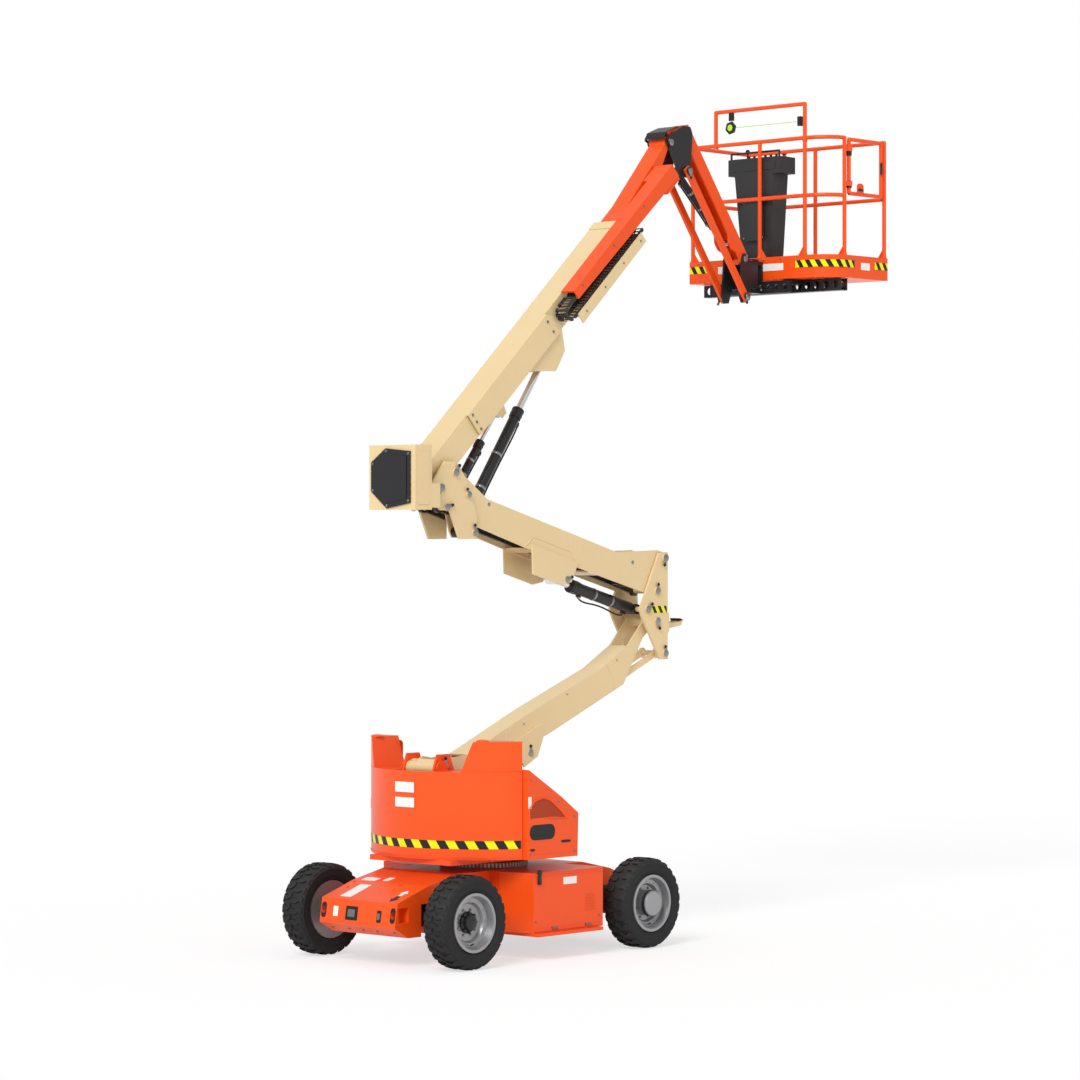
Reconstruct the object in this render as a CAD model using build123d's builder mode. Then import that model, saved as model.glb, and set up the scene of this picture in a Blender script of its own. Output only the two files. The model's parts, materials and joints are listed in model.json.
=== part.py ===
"""Articulating boom lift, self-propelled, with a two-beam tower, a telescoping boom, a jib and a work platform.

Millimetres, +Z up. The wheels stand on z = 0 and the boom points along +X, over the driven axle.
Pieces are drawn about the slew axis at x = 0, then saved with the origin on the floor under the
middle of the machine's length.
"""
from build123d import *
import math
import os

# Running gear
wheel_base = 2010
tyre_radius = 354
tyre_width = 226
lug_height = 16
lug_count = 24
shoulder = 32
wheel_centre_y = 755
rim_radius = 222
rim_width = 200
hub_bore = 60
kingpin_y = 560
kingpin_radius = 22
small_pin_radius = 16
steer_fork_gap = 150

# Chassis
chassis_half_width = 400
chassis_bottom = 227
deck_height = 670
nose_x = 1386
battery_box_front = -300
battery_box_back = 490
battery_box_side = 800
battery_box_bottom = 215
slew_ring_radius = 330
slew_ring_height = 68
running_gap = 0.3
pin_clearance = 0.05
side_gap = 6

# Turntable
turntable_plate = 40
turntable_bottom = deck_height + slew_ring_height + running_gap
hood_radius = 875
hood_end_x = -400
hood_shoulder = 1440
hood_top = 1670
hood_slot_half = 190
hood_notch_half = 460
tower_cheek_inner = 150
tower_cheek_thickness = 20

# Tower pins, (x, z) in the side view
lower_foot = (-620, 1470)
lower_beam_end = (1865, 2534)
lower_link_offset = (99, -265)
upright_top = (1964, 3045)
upper_link_offset = (-99, -269)
upright_cylinder_pin = (1747, 2630)
head_top = (-497, 3708)
boom_pivot = (-657, 3588)
lift_foot = (-285, 3250)
level_foot = (-354, 3540)
lower_cylinder_foot = (-700, 830)
lower_cylinder_pin = (417, 1523)
upper_cylinder_pin = (795, 2879)

# Widths across the machine, measured from its middle plane
plate_inner = 152
plate_thickness = 20
lower_beam_half = 100
upper_beam_half = 146
beam_wall = 14
lower_link_inner = 66
lower_link_outer = 80
upper_link_inner = 66
upper_link_outer = 96
pin_radius = 22
pin_head_radius = 34
pin_head = 12
eye_wall = 20

# Main boom and fly, along the boom from its pivot and square to it
boom_angle = 42.37
boom_half = 122
boom_bottom = -20
boom_top = 193
boom_wall = 12
boom_start = -110
boom_end = 3006
fly_half = 95
fly_bottom = 9
fly_top = 172
fly_wall = 10
fly_tail = 520
pad_length = 120
lift_pin_along = 1722
lift_pin_below = -134
level_pin_along = 978
level_pin_below = -96

# Jib
knuckle_pin = (2112, 6443)
jib_top_pin = (2337, 6540)
jib_link_offset = (-26, -320)
jib_length = 1242
jib_angle = -53.15
jib_half = 80
jib_wall = 14
jib_pin_along = 1060
jib_pin_below = -45
knuckle_plate_inner = 88
knuckle_plate_thickness = 16
jib_link_inner = 111
jib_link_thickness = 25

# Platform
rotator_x = 3215
rotator_radius = 52
platform_boom_side = 3380
platform_depth = 800
platform_half = 760
floor_height = 5405
floor_thickness = 18
floor_base = floor_height - floor_thickness
toe_board_height = 190
rail_height = floor_height + 1170
high_rail_height = floor_height + 1455
corner_depth = 210
corner_width = 255
rail_radius = 17

# The stored origin lies under the middle of the machine's length
middle_x = (platform_boom_side + platform_depth - nose_x) / 2

side = Plane.XZ


def leaning(point, degrees):
    """Side-view plane with its origin at a pin and its first axis along a beam."""
    angle = math.radians(degrees)
    return Plane(
        origin=(point[0], 0, point[1]),
        x_dir=(math.cos(angle), 0, math.sin(angle)),
        z_dir=(0, -1, 0),
    )


def slope(start, end):
    """Angle of the line between two side-view points, in degrees."""
    return math.degrees(math.atan2(end[1] - start[1], end[0] - start[0]))


def reach(start, end):
    """Distance between two side-view points."""
    return math.hypot(end[0] - start[0], end[1] - start[1])


def shifted(point, offset):
    """A side-view point moved by an offset."""
    return (point[0] + offset[0], point[1] + offset[1])


def seen_from(plane, point):
    """A side-view point in a leaning plane's own axes."""
    local = plane.to_local_coords(Vector(point[0], 0, point[1]))
    return (local.X, local.Y)


def plate(plane, outline, low, high):
    """A flat plate of a side-view outline, between two distances across the machine."""
    with BuildPart() as made:
        with BuildSketch(plane.offset(-high)):
            with BuildLine():
                Polyline(*outline, close=True)
            make_face()
        extrude(amount=high - low)
    return made.part


def bar(plane, point, radius, low, high):
    """A round bar across the machine, centred on a side-view point."""
    with BuildPart() as made:
        with BuildSketch(plane.offset(-high)):
            with Locations(point):
                Circle(radius)
        extrude(amount=high - low)
    return made.part


def pair(plane, outline, inner, thickness):
    """Two like plates, one each side of the middle."""
    near = plate(plane, outline, -inner - thickness, -inner)
    far = plate(plane, outline, inner, inner + thickness)
    return [near, far]


def box(low, high):
    """A block between two corners."""
    size = [b - a for a, b in zip(low, high)]
    middle = tuple((a + b) / 2 for a, b in zip(low, high))
    with BuildPart() as made:
        with Locations(middle):
            Box(*size)
    return made.part


def channel(plane, start, end, bottom, top, half, wall):
    """An upturned channel along a beam: a top plate and two cheeks, open below."""
    with BuildPart() as made:
        add(plate(plane, [(start, bottom), (end, bottom), (end, top), (start, top)], -half, half))
        inside = half - wall
        floor = bottom - wall
        cut = [(start - wall, floor), (end + wall, floor), (end + wall, top - wall), (start - wall, top - wall)]
        add(plate(plane, cut, -inside, inside), mode=Mode.SUBTRACT)
    return made.part


def hinge_pin(point, length, radius=pin_radius):
    """A pin right across the machine with a round head each end."""
    with BuildPart() as made:
        add(bar(side, point, radius, -length, length))
        for face in (-length - pin_head, length):
            add(bar(side, point, radius + pin_head, face, face + pin_head))
    return made.part


def cylinder_barrel(foot, head, radius, bore, eye_half, length, pin):
    """A cylinder's barrel: an eye at its foot, a tube and a gland."""
    plane = leaning(foot, slope(foot, head))
    eye = pin + eye_wall
    tube = Plane(origin=plane.origin, z_dir=plane.x_dir)
    with BuildPart() as made:
        add(bar(plane, (0, 0), eye, -eye_half, eye_half))
        with BuildSketch(tube.offset(eye / 2)):
            Circle(radius)
        extrude(amount=length - eye / 2)
        with BuildSketch(tube.offset(length - 2 * radius)):
            Circle(radius + 6)
        extrude(amount=2 * radius)
        with BuildSketch(tube.offset(eye + 30)):
            Circle(bore + running_gap)
        extrude(amount=length, mode=Mode.SUBTRACT)
        add(bar(plane, (0, 0), pin + pin_clearance, -eye_half, eye_half), mode=Mode.SUBTRACT)
    return made.part


def cylinder_rod(foot, head, bore, eye_half, tail, pin):
    """A cylinder's rod, with its eye and the pin that it carries."""
    plane = leaning(foot, slope(foot, head))
    length = reach(foot, head)
    tube = Plane(origin=plane.origin, z_dir=plane.x_dir)
    with BuildPart() as made:
        with BuildSketch(tube.offset(tail)):
            Circle(bore)
        extrude(amount=length - tail)
        add(bar(plane, (length, 0), pin + eye_wall, -eye_half, eye_half))
        add(bar(plane, (length, 0), pin, -eye_half - eye_wall, eye_half + eye_wall))
    return made.part


def save(piece, name):
    """Move a finished piece to the stored origin, label it and write it."""
    piece.part = piece.part.moved(Location((-middle_x, 0, 0)))
    piece.part.label = name
    export_step(piece.part, f"parts/{name}.step")


os.makedirs("parts", exist_ok=True)

# Chassis frame: a deep box with a sloped nose at each end, and the slew ring on its deck
nose_outline = [
    (-nose_x, 307),
    (-nose_x + 30, 492),
    (-1028, 600),
    (-700, deck_height),
    (700, deck_height),
    (1028, 600),
    (nose_x - 90, 492),
    (nose_x - 60, 307),
    (1244, chassis_bottom),
    (-1244, chassis_bottom),
]
axle_slot_top = 470
axle_slot = [(-1105, axle_slot_top), (-905, axle_slot_top), (-905, 200), (-1105, 200)]
tie_down_radius = 24
tie_down_wall = 41
tie_down_pocket = 105
with BuildPart() as chassis_frame:
    add(plate(side, nose_outline, -chassis_half_width, chassis_half_width))
    for end in (-1, 1):
        slot = [(end * x, z) for x, z in axle_slot]
        add(plate(side, slot, -chassis_half_width, chassis_half_width), mode=Mode.SUBTRACT)
    for hand in (-1, 1):
        add(box(
            (tie_down_wall - nose_x, hand * 370 - 35, 345),
            (tie_down_wall - nose_x + tie_down_pocket, hand * 370 + 35, 455),
        ), mode=Mode.SUBTRACT)
    with BuildSketch(Plane.YZ.offset(-nose_x - 10)):
        with Locations((-365, 400), (365, 400)):
            Circle(tie_down_radius)
    extrude(amount=100, mode=Mode.SUBTRACT)
    with BuildSketch(Plane.XY.offset(deck_height)):
        Circle(slew_ring_radius)
    extrude(amount=slew_ring_height)

# Battery boxes: one each side between the wheels
with BuildPart() as battery_boxes:
    for hand in (-1, 1):
        with BuildSketch(Plane.XY.offset(battery_box_bottom)):
            with BuildLine():
                Polyline(
                    (battery_box_front, hand * battery_box_side),
                    (battery_box_back, hand * battery_box_side),
                    (battery_box_back, hand * chassis_half_width),
                    (battery_box_front - 60, hand * chassis_half_width),
                    (battery_box_front - 60, hand * 500),
                    close=True,
                )
            make_face()
        extrude(amount=deck_height - battery_box_bottom)
        add(box(
            (battery_box_front, hand * 625 - 225, battery_box_bottom - 25),
            (battery_box_back - 50, hand * 625 + 225, battery_box_bottom),
        ))

# Steer axle: a beam that ends in a fork each side, bored for its kingpin
axle_x = wheel_base / 2
with BuildPart() as steer_axle:
    add(box((-axle_x - 70, -470, 300), (-axle_x + 70, 470, 408)))
    add(box((-axle_x - 70, -140, 408), (-axle_x + 70, 140, axle_slot_top)))
    for hand in (-1, 1):
        for low in (tyre_radius - steer_fork_gap / 2 - 30, tyre_radius + steer_fork_gap / 2):
            add(box(
                (-axle_x - 50, hand * 520 - 90, low),
                (-axle_x + 50, hand * 520 + 90, low + 30),
            ))
        add(box(
            (-axle_x - 50, hand * 450 - 25, tyre_radius - steer_fork_gap / 2 - 30),
            (-axle_x + 50, hand * 450 + 25, tyre_radius + steer_fork_gap / 2 + 30),
        ))
        with BuildSketch(Plane.XY.offset(200)):
            with Locations((-axle_x, hand * kingpin_y)):
                Circle(kingpin_radius + pin_clearance)
        extrude(amount=300, mode=Mode.SUBTRACT)

# Drive axle: a beam with a motor flange at each end
with BuildPart() as drive_axle:
    add(box((axle_x - 90, -520, 280), (axle_x + 90, 520, 428)))
    for hand in (-1, 1):
        add(box((axle_x - 90, hand * 300 - 60, 428), (axle_x + 90, hand * 300 + 60, axle_slot_top)))
    with BuildSketch(Plane.XZ.offset(-wheel_centre_y)):
        with Locations((axle_x, tyre_radius)):
            Circle(hub_bore - 15)
    extrude(amount=2 * wheel_centre_y)


def knuckle(hand):
    """Steering knuckle: a kingpin block with the wheel's spindle."""
    with BuildPart() as made:
        add(box(
            (-axle_x - 45, hand * kingpin_y - 38, tyre_radius - steer_fork_gap / 2 + 5),
            (-axle_x + 45, hand * kingpin_y + 38, tyre_radius + steer_fork_gap / 2 - 5),
        ))
        with BuildSketch(Plane.XY.offset(tyre_radius - steer_fork_gap / 2 - 38)):
            with Locations((-axle_x, hand * kingpin_y)):
                Circle(kingpin_radius)
        extrude(amount=steer_fork_gap + 76)
        with BuildSketch(Plane.XZ.offset(-hand * (kingpin_y + 20))):
            with Locations((-axle_x, tyre_radius)):
                Circle(hub_bore - 15)
        extrude(amount=-hand * 180)
    return made


# Tyre: two faceted halves half a pitch apart, each with a row of slanted lugs, drawn at the origin
tyre_half = tyre_width / 2
carcass_radius = tyre_radius - lug_height
facet_distance = carcass_radius * math.cos(math.pi / lug_count)
with BuildPart() as tyre:
    for hand in (-1, 1):
        start = 90 / lug_count * (1 + hand)
        for near, far, shrink in ((0, tyre_half - shoulder, 0), (tyre_half - shoulder, tyre_half, shoulder)):
            with BuildSketch(Plane.XZ.offset(-hand * near)):
                RegularPolygon(carcass_radius, lug_count, rotation=start)
            with BuildSketch(Plane.XZ.offset(-hand * far)):
                RegularPolygon(carcass_radius - shrink, lug_count, rotation=start)
            loft(ruled=True)
        for index in range(lug_count):
            turn = math.radians(start + 360 / lug_count * (index + 0.5))
            radial = Vector(math.cos(turn), 0, math.sin(turn))
            with BuildSketch(Plane(origin=radial * (facet_distance - shoulder), x_dir=(0, 1, 0), z_dir=radial)):
                with BuildLine():
                    Polyline(
                        (hand * 8, -8),
                        (hand * (tyre_half - 5), -28),
                        (hand * (tyre_half - 5), 10),
                        (hand * 8, 28),
                        close=True,
                    )
                make_face()
            extrude(amount=tyre_radius - 1 - facet_distance + shoulder)
    with BuildSketch(Plane.XZ.offset(-tyre_width)):
        RegularPolygon(rim_radius, lug_count, major_radius=False)
    extrude(amount=2 * tyre_width, mode=Mode.SUBTRACT)


def rim(cap_reach, cap_radius):
    """A wheel's stepped disc with a hub that runs on its spindle, drawn at the origin facing -Y."""
    face = tyre_half - 6
    spindle = hub_bore - 15 + running_gap
    with BuildPart() as made:
        with BuildSketch(Plane.XY):
            with BuildLine():
                Polyline(
                    (spindle, rim_width / 2),
                    (rim_radius - running_gap, rim_width / 2),
                    (rim_radius - running_gap, -face),
                    (rim_radius - 22, -face),
                    (rim_radius - 40, 55 - face),
                    (rim_radius - 70, 60 - face),
                    (rim_radius - 85, 85 - face),
                    (cap_radius, 85 - face),
                    (cap_radius, 10 - cap_reach),
                    (cap_radius - 10, -cap_reach),
                    (0, -cap_reach),
                    (0, 30 - cap_reach),
                    (spindle, 30 - cap_reach),
                    close=True,
                )
            make_face()
        revolve(axis=Axis.Y)
    return made


steer_rim = rim(tyre_half - 40, 55)
drive_rim = rim(tyre_half + 10, 100)


def at_wheel(piece, centre_x, hand):
    """A copy of a wheel's piece at its place; the far side's is turned to face outwards."""
    with BuildPart() as placed:
        turned = piece.part.rotate(Axis.Z, 0 if hand < 0 else 180)
        add(turned.moved(Location((centre_x, hand * wheel_centre_y, tyre_radius))))
    return placed


knuckle_near = knuckle(-1)
knuckle_far = knuckle(1)
wheels = {}
for place, centre_x, disc in (("steer", -axle_x, steer_rim), ("drive", axle_x, drive_rim)):
    for hand_name, hand in (("near", -1), ("far", 1)):
        wheels[f"tyre_{place}_{hand_name}"] = at_wheel(tyre, centre_x, hand)
        wheels[f"rim_{place}_{hand_name}"] = at_wheel(disc, centre_x, hand)

# Turntable frame: a round-cornered plate with two tall cheeks that carry the tower
cheek_outline = [
    (-800, turntable_bottom + turntable_plate),
    (-430, turntable_bottom + turntable_plate),
    (-430, 1240),
    (-560, 1560),
    (-690, 1560),
    (-780, 1300),
]
deck_top = turntable_bottom + turntable_plate
with BuildPart() as turntable_frame:
    add(box((-820, -430, turntable_bottom), (560, 430, deck_top)))
    for cheek in pair(side, cheek_outline, tower_cheek_inner, tower_cheek_thickness):
        add(cheek)
    lower_link_foot = shifted(lower_foot, lower_link_offset)
    cheek_outer = tower_cheek_inner + tower_cheek_thickness
    for point in (lower_foot, lower_cylinder_foot):
        add(hinge_pin(point, cheek_outer))
    for low in (-cheek_outer, lower_link_inner - 4):
        add(bar(side, lower_link_foot, pin_radius, low, low + cheek_outer - lower_link_inner + 4))
    for low in (-cheek_outer - pin_head, cheek_outer):
        add(bar(side, lower_link_foot, pin_head_radius, low, low + pin_head))

# Counterweight hood: a drum quarter round the tail, notched for the boom and slotted for the tower
with BuildPart() as counterweight_hood:
    with BuildSketch(Plane.XY.offset(deck_top)):
        Circle(hood_radius)
        with Locations((hood_radius + hood_end_x, 0)):
            Rectangle(2 * hood_radius, 2 * hood_radius, mode=Mode.SUBTRACT)
    extrude(amount=hood_top - deck_top)
    add(box((50 - hood_radius, -hood_slot_half, deck_top), (0, hood_slot_half, hood_top)), mode=Mode.SUBTRACT)
    add(box((-hood_radius, -hood_notch_half, hood_shoulder), (0, hood_notch_half, hood_top)), mode=Mode.SUBTRACT)

# Side covers: sloping boxes along each side of the turntable
cover_outline = [
    (hood_end_x + side_gap, deck_top),
    (hood_end_x + side_gap, 1458),
    (-23, 1235),
    (163, 1107),
    (153, deck_top),
]
with BuildPart() as side_covers:
    for cover in pair(side, cover_outline, 440, 400):
        add(cover)
    for hand in (-1, 1):
        add(box((hood_end_x + side_gap, hand * 437 - 7, turntable_bottom), (153, hand * 437 + 7, deck_top + 30)))

# Lower tower beam: an open-bottomed channel that goosenecks up to the upright
lower_plane = leaning(lower_foot, slope(lower_foot, lower_beam_end))
lower_length = reach(lower_foot, lower_beam_end)
lower_pin_local = seen_from(lower_plane, lower_cylinder_pin)
lower_side = [
    (-70, -40),
    (-40, 50),
    (60, 45),
    (140, -8),
    (340, -68),
    (1150, -72),
    (2000, -108),
    (2370, -70),
    (2570, 14),
    (2660, 44),
    (lower_length + 30, 48),
    (lower_length + 58, 10),
    (lower_length + 40, -40),
    (2560, -88),
    (2200, -335),
    (1240, -318),
    (300, -230),
    (0, -62),
]
base_plate = [
    (lower_pin_local[0] - 160, -200),
    (lower_pin_local[0] - 110, lower_pin_local[1] - 70),
    (lower_pin_local[0] + 60, lower_pin_local[1] - 60),
    (lower_pin_local[0] + 190, -300),
    (lower_pin_local[0] + 190, -200),
]
with BuildPart() as lower_beam:
    for cheek in pair(lower_plane, lower_side, lower_beam_half - beam_wall, beam_wall):
        add(cheek)
    top_skin = [(340, -68), (1150, -72), (2000, -108), (2370, -70)]
    top_run = top_skin + [(u, v - beam_wall) for u, v in reversed(top_skin)]
    add(plate(lower_plane, top_run, -lower_beam_half, lower_beam_half))
    for cheek in pair(lower_plane, base_plate, lower_beam_half, beam_wall):
        add(cheek)
    add(bar(side, lower_foot, 48, -tower_cheek_inner + running_gap, tower_cheek_inner - running_gap))
    add(bar(side, lower_beam_end, 46, -plate_inner + running_gap, plate_inner - running_gap))
    add(bar(side, lower_foot, pin_radius + pin_clearance, -300, 300), mode=Mode.SUBTRACT)
    add(bar(side, lower_beam_end, pin_radius + pin_clearance, -300, 300), mode=Mode.SUBTRACT)

# Lower level link: a bar each side of the lower cylinder, inside the beam
upright_link_pin = shifted(lower_beam_end, lower_link_offset)
lower_link_start = seen_from(lower_plane, lower_link_foot)
lower_link_end = seen_from(lower_plane, upright_link_pin)
lower_link_width = lower_link_outer - lower_link_inner
with BuildPart() as lower_link:
    for bar_plate in pair(lower_plane, [
        (lower_link_start[0], lower_link_start[1] - 24),
        (lower_link_end[0], lower_link_end[1] - 24),
        (lower_link_end[0], lower_link_end[1] + 24),
        (lower_link_start[0], lower_link_start[1] + 24),
    ], lower_link_inner, lower_link_width):
        add(bar_plate)
    add(plate(lower_plane, [
        (lower_link_end[0] - 420, lower_link_end[1] - 18),
        (lower_link_end[0] - 340, lower_link_end[1] - 18),
        (lower_link_end[0] - 340, lower_link_end[1] + 18),
        (lower_link_end[0] - 420, lower_link_end[1] + 18),
    ], -lower_link_inner, lower_link_inner))
    for point in (lower_link_foot, upright_link_pin):
        for low in (-lower_link_outer, lower_link_inner):
            add(bar(side, point, 42, low, low + lower_link_width))
    for point in (lower_link_foot, upright_link_pin):
        add(bar(side, point, pin_radius + pin_clearance, -300, 300), mode=Mode.SUBTRACT)

# Mid upright: two plates that join the tower's beams, with the boom rest
upright_link_top = shifted(upright_top, upper_link_offset)
upright_outline = [
    (1999, 3092),
    (1999, 2221),
    (1902, 2221),
    (1686, 2564),
    (1655, 2631),
    (1892, 3086),
]
with BuildPart() as mid_upright:
    for cheek in pair(side, upright_outline, plate_inner, plate_thickness):
        add(cheek)
    add(box((1999, -170, 2440), (2019, 170, 2600)))
    add(plate(side, [(2019, 2450), (2300, 2490), (2330, 2540), (2290, 2520), (2019, 2500)], -60, 60))
    for point in (upright_top, upright_link_top, upright_cylinder_pin, lower_beam_end, upright_link_pin):
        add(hinge_pin(point, plate_inner + plate_thickness))

# Upper tower beam
upper_plane = leaning(upright_top, slope(upright_top, head_top) - 180)
upper_length = reach(upright_top, head_top)
upper_pin_local = seen_from(upper_plane, upper_cylinder_pin)
upper_side = [
    (-upper_length - 50, -20),
    (-upper_length - 20, 48),
    (-upper_length + 40, 40),
    (-upper_length + 420, -95),
    (-560, -100),
    (-80, 44),
    (20, 48),
    (52, 0),
    (20, -60),
    (-150, -330),
    (-1600, -345),
    (-upper_length + 340, -330),
    (-upper_length + 275, -182),
    (-upper_length + 205, -138),
    (-upper_length, -66),
]
upper_bracket = [
    (upper_pin_local[0] - 470, -300),
    (upper_pin_local[0] - 400, upper_pin_local[1] - 60),
    (upper_pin_local[0] - 60, upper_pin_local[1] - 60),
    (upper_pin_local[0] + 50, upper_pin_local[1] - 10),
    (upper_pin_local[0] + 90, -300),
]
with BuildPart() as upper_beam:
    for cheek in pair(upper_plane, upper_side, upper_beam_half - beam_wall, beam_wall):
        add(cheek)
    add(plate(upper_plane, [(-700, -99.6), (-560, -100), (-560, -114), (-700, -114)], -upper_beam_half, upper_beam_half))
    for start in (-1550, -850):
        tie = [(start, -344), (start + 100, -344), (start + 100, -330), (start, -330)]
        add(plate(upper_plane, tie, -upper_beam_half, upper_beam_half))
    for cheek in pair(upper_plane, upper_bracket, upper_beam_half, beam_wall):
        add(cheek)
    add(bar(side, upright_top, 46, -plate_inner + running_gap, plate_inner - running_gap))
    boss_width = plate_inner - running_gap - upper_beam_half
    for low in (-plate_inner + running_gap, upper_beam_half):
        add(bar(side, head_top, 46, low, low + boss_width))
    for point in (upright_top, head_top):
        add(bar(side, point, pin_radius + pin_clearance, -300, 300), mode=Mode.SUBTRACT)

# Upper level link: a pair of bars inside the upper beam
head_link_pin = shifted(head_top, upper_link_offset)
link_start = seen_from(upper_plane, upright_link_top)
link_end = seen_from(upper_plane, head_link_pin)
with BuildPart() as upper_link:
    for cheek in pair(upper_plane, [
        (link_start[0], link_start[1] - 26),
        (link_start[0], link_start[1] + 26),
        (link_end[0], link_end[1] + 26),
        (link_end[0], link_end[1] - 26),
    ], upper_link_inner, upper_link_outer - upper_link_inner):
        add(cheek)
    add(plate(upper_plane, [
        (link_start[0] - 200, link_start[1] - 20),
        (link_start[0] - 200, link_start[1] + 20),
        (link_start[0] - 300, link_start[1] + 20),
        (link_start[0] - 300, link_start[1] - 20),
    ], -upper_link_inner, upper_link_inner))
    for point in (upright_link_top, head_link_pin):
        for low in (-upper_link_outer, upper_link_inner):
            add(bar(side, point, 42, low, low + upper_link_outer - upper_link_inner))
    for point in (upright_link_top, head_link_pin):
        add(bar(side, point, pin_radius + pin_clearance, -300, 300), mode=Mode.SUBTRACT)

# Boom head: two plates that join the tower to the boom, with the box behind them
head_outline = [
    (-606, 3793),
    (-479, 3789),
    (-378, 3657),
    (-258, 3384),
    (-258, 3200),
    (-451, 3197),
    (-561, 3427),
    (-760, 3438),
    (-751, 3627),
]
foot_plate_outline = [
    (-700, 3492),
    (-700, 3515),
    (-440, 3515),
    shifted(level_foot, (-30, 26)),
    shifted(level_foot, (26, 26)),
    shifted(level_foot, (30, -30)),
    shifted(lift_foot, (44, 20)),
    shifted(lift_foot, (36, -36)),
    shifted(lift_foot, (-20, -42)),
    shifted(lift_foot, (-48, 0)),
    (-410, 3492),
]
foot_plate_inner = 46
foot_plate_thickness = 14
lug_block_low = (-745, -plate_inner, 3490)
lug_block_high = (-665, plate_inner, 3520)
with BuildPart() as boom_head:
    for cheek in pair(side, head_outline, plate_inner, plate_thickness):
        add(cheek)
    head_outer = plate_inner + plate_thickness
    add(hinge_pin(boom_pivot, head_outer))
    for low in (-head_outer, upper_link_inner - 4):
        add(bar(side, head_link_pin, pin_radius, low, low + head_outer - upper_link_inner + 4))
    for cheek in pair(side, foot_plate_outline, foot_plate_inner, foot_plate_thickness):
        add(cheek)
    foot_reach = foot_plate_inner + foot_plate_thickness
    add(bar(side, level_foot, small_pin_radius, -foot_reach, foot_reach))
    add(bar(side, lift_foot, pin_radius, -foot_reach, foot_reach))
    add(box(lug_block_low, lug_block_high))
    for point in (head_link_pin, lift_foot, level_foot):
        for low in (-head_outer - pin_head, head_outer):
            add(bar(side, point, small_pin_radius + pin_head, low, low + pin_head))
    ear_inner = upper_beam_half - beam_wall
    for low in (-plate_inner - plate_thickness, ear_inner):
        add(bar(side, head_top, pin_radius, low, low + plate_inner + plate_thickness - ear_inner))
    for low in (-plate_inner - plate_thickness - pin_head, plate_inner + plate_thickness):
        add(bar(side, head_top, pin_head_radius, low, low + pin_head))
    add(box((-1010, -245, 3420), (-830, 245, 3910)))
    for low in (-245, plate_inner):
        add(box((-840, low, 3440), (-740, low + 95, 3620)))

# Main boom: a box tube with a pivot boss at its foot and brackets below
boom_plane = leaning(boom_pivot, boom_angle)
along = Plane(origin=boom_plane.origin, x_dir=(0, 1, 0), z_dir=boom_plane.x_dir)
boom_middle = (boom_bottom + boom_top) / 2
boom_depth = boom_top - boom_bottom
fly_middle = (fly_bottom + fly_top) / 2
fly_depth = fly_top - fly_bottom
lift_head = boom_plane.from_local_coords(Vector(lift_pin_along, lift_pin_below, 0))
lift_pin = (lift_head.X, lift_head.Z)
level_head = boom_plane.from_local_coords(Vector(level_pin_along, level_pin_below, 0))
level_pin = (level_head.X, level_head.Z)


def tube_along(start, end, half, bottom, top):
    """A solid box run along the boom."""
    return plate(boom_plane, [(start, bottom), (end, bottom), (end, top), (start, top)], -half, half)


with BuildPart() as main_boom:
    add(plate(boom_plane, [
        (-35, -35),
        (35, -35),
        (110, boom_bottom),
        (boom_end, boom_bottom),
        (boom_end, boom_top),
        (70, boom_top),
        (-50, 40),
    ], -boom_half, boom_half))
    add(bar(boom_plane, (0, 0), 56, -plate_inner + running_gap, plate_inner - running_gap))
    inner_half = boom_half - boom_wall
    add(tube_along(120, boom_end + 10, inner_half, boom_bottom + boom_wall, boom_top - boom_wall), mode=Mode.SUBTRACT)
    add(tube_along(150, level_pin_along + 130, 54, boom_bottom - 1, 0), mode=Mode.SUBTRACT)
    add(tube_along(lift_pin_along - 120, lift_pin_along + 120, 60, boom_bottom - 1, 0), mode=Mode.SUBTRACT)
    for cheek in pair(boom_plane, [
        (lift_pin_along - 330, boom_bottom + 1),
        (lift_pin_along - 330, boom_bottom),
        (lift_pin_along - 90, lift_pin_below - 90),
        (lift_pin_along + 100, lift_pin_below - 40),
        (lift_pin_along + 190, boom_bottom),
        (lift_pin_along + 190, boom_bottom + 1),
    ], boom_half - 14, 14):
        add(cheek)
    for cheek in pair(boom_plane, [
        (level_pin_along - 70, boom_bottom + 5),
        (level_pin_along - 20, level_pin_below - 30),
        (level_pin_along + 40, level_pin_below - 30),
        (level_pin_along + 70, boom_bottom + 5),
    ], 62, 12):
        add(cheek)
    add(bar(boom_plane, (0, 0), pin_radius + pin_clearance, -300, 300), mode=Mode.SUBTRACT)
    pad_half = fly_half + running_gap
    for low, high in ((-inner_half, -pad_half), (pad_half, inner_half)):
        add(plate(boom_plane, [
            (boom_end - pad_length, fly_bottom),
            (boom_end, fly_bottom),
            (boom_end, fly_top),
            (boom_end - pad_length, fly_top),
        ], low, high))
    for low, high in ((boom_bottom + boom_wall, fly_bottom - running_gap), (fly_top + running_gap, boom_top - boom_wall)):
        add(tube_along(boom_end - pad_length, boom_end, 60, low, high))

    # A tray along the near side for the cable chain, and a cover plate behind it
    add(plate(boom_plane, [(2006, 12), (3032, 12), (3032, 20), (2006, 20)], -272, -boom_half))
    add(plate(boom_plane, [(2006, -50), (3032, -50), (3032, 40), (2006, 40)], -272, -262))
    add(plate(boom_plane, [(620, boom_bottom + 6), (1850, boom_bottom + 6), (1870, 150), (1830, boom_top), (620, boom_top)], -145, -137.5))
    add(plate(boom_plane, [(620, boom_top - 8), (1830, boom_top - 8), (1830, boom_top), (620, boom_top)], -145, -boom_half))

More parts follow.
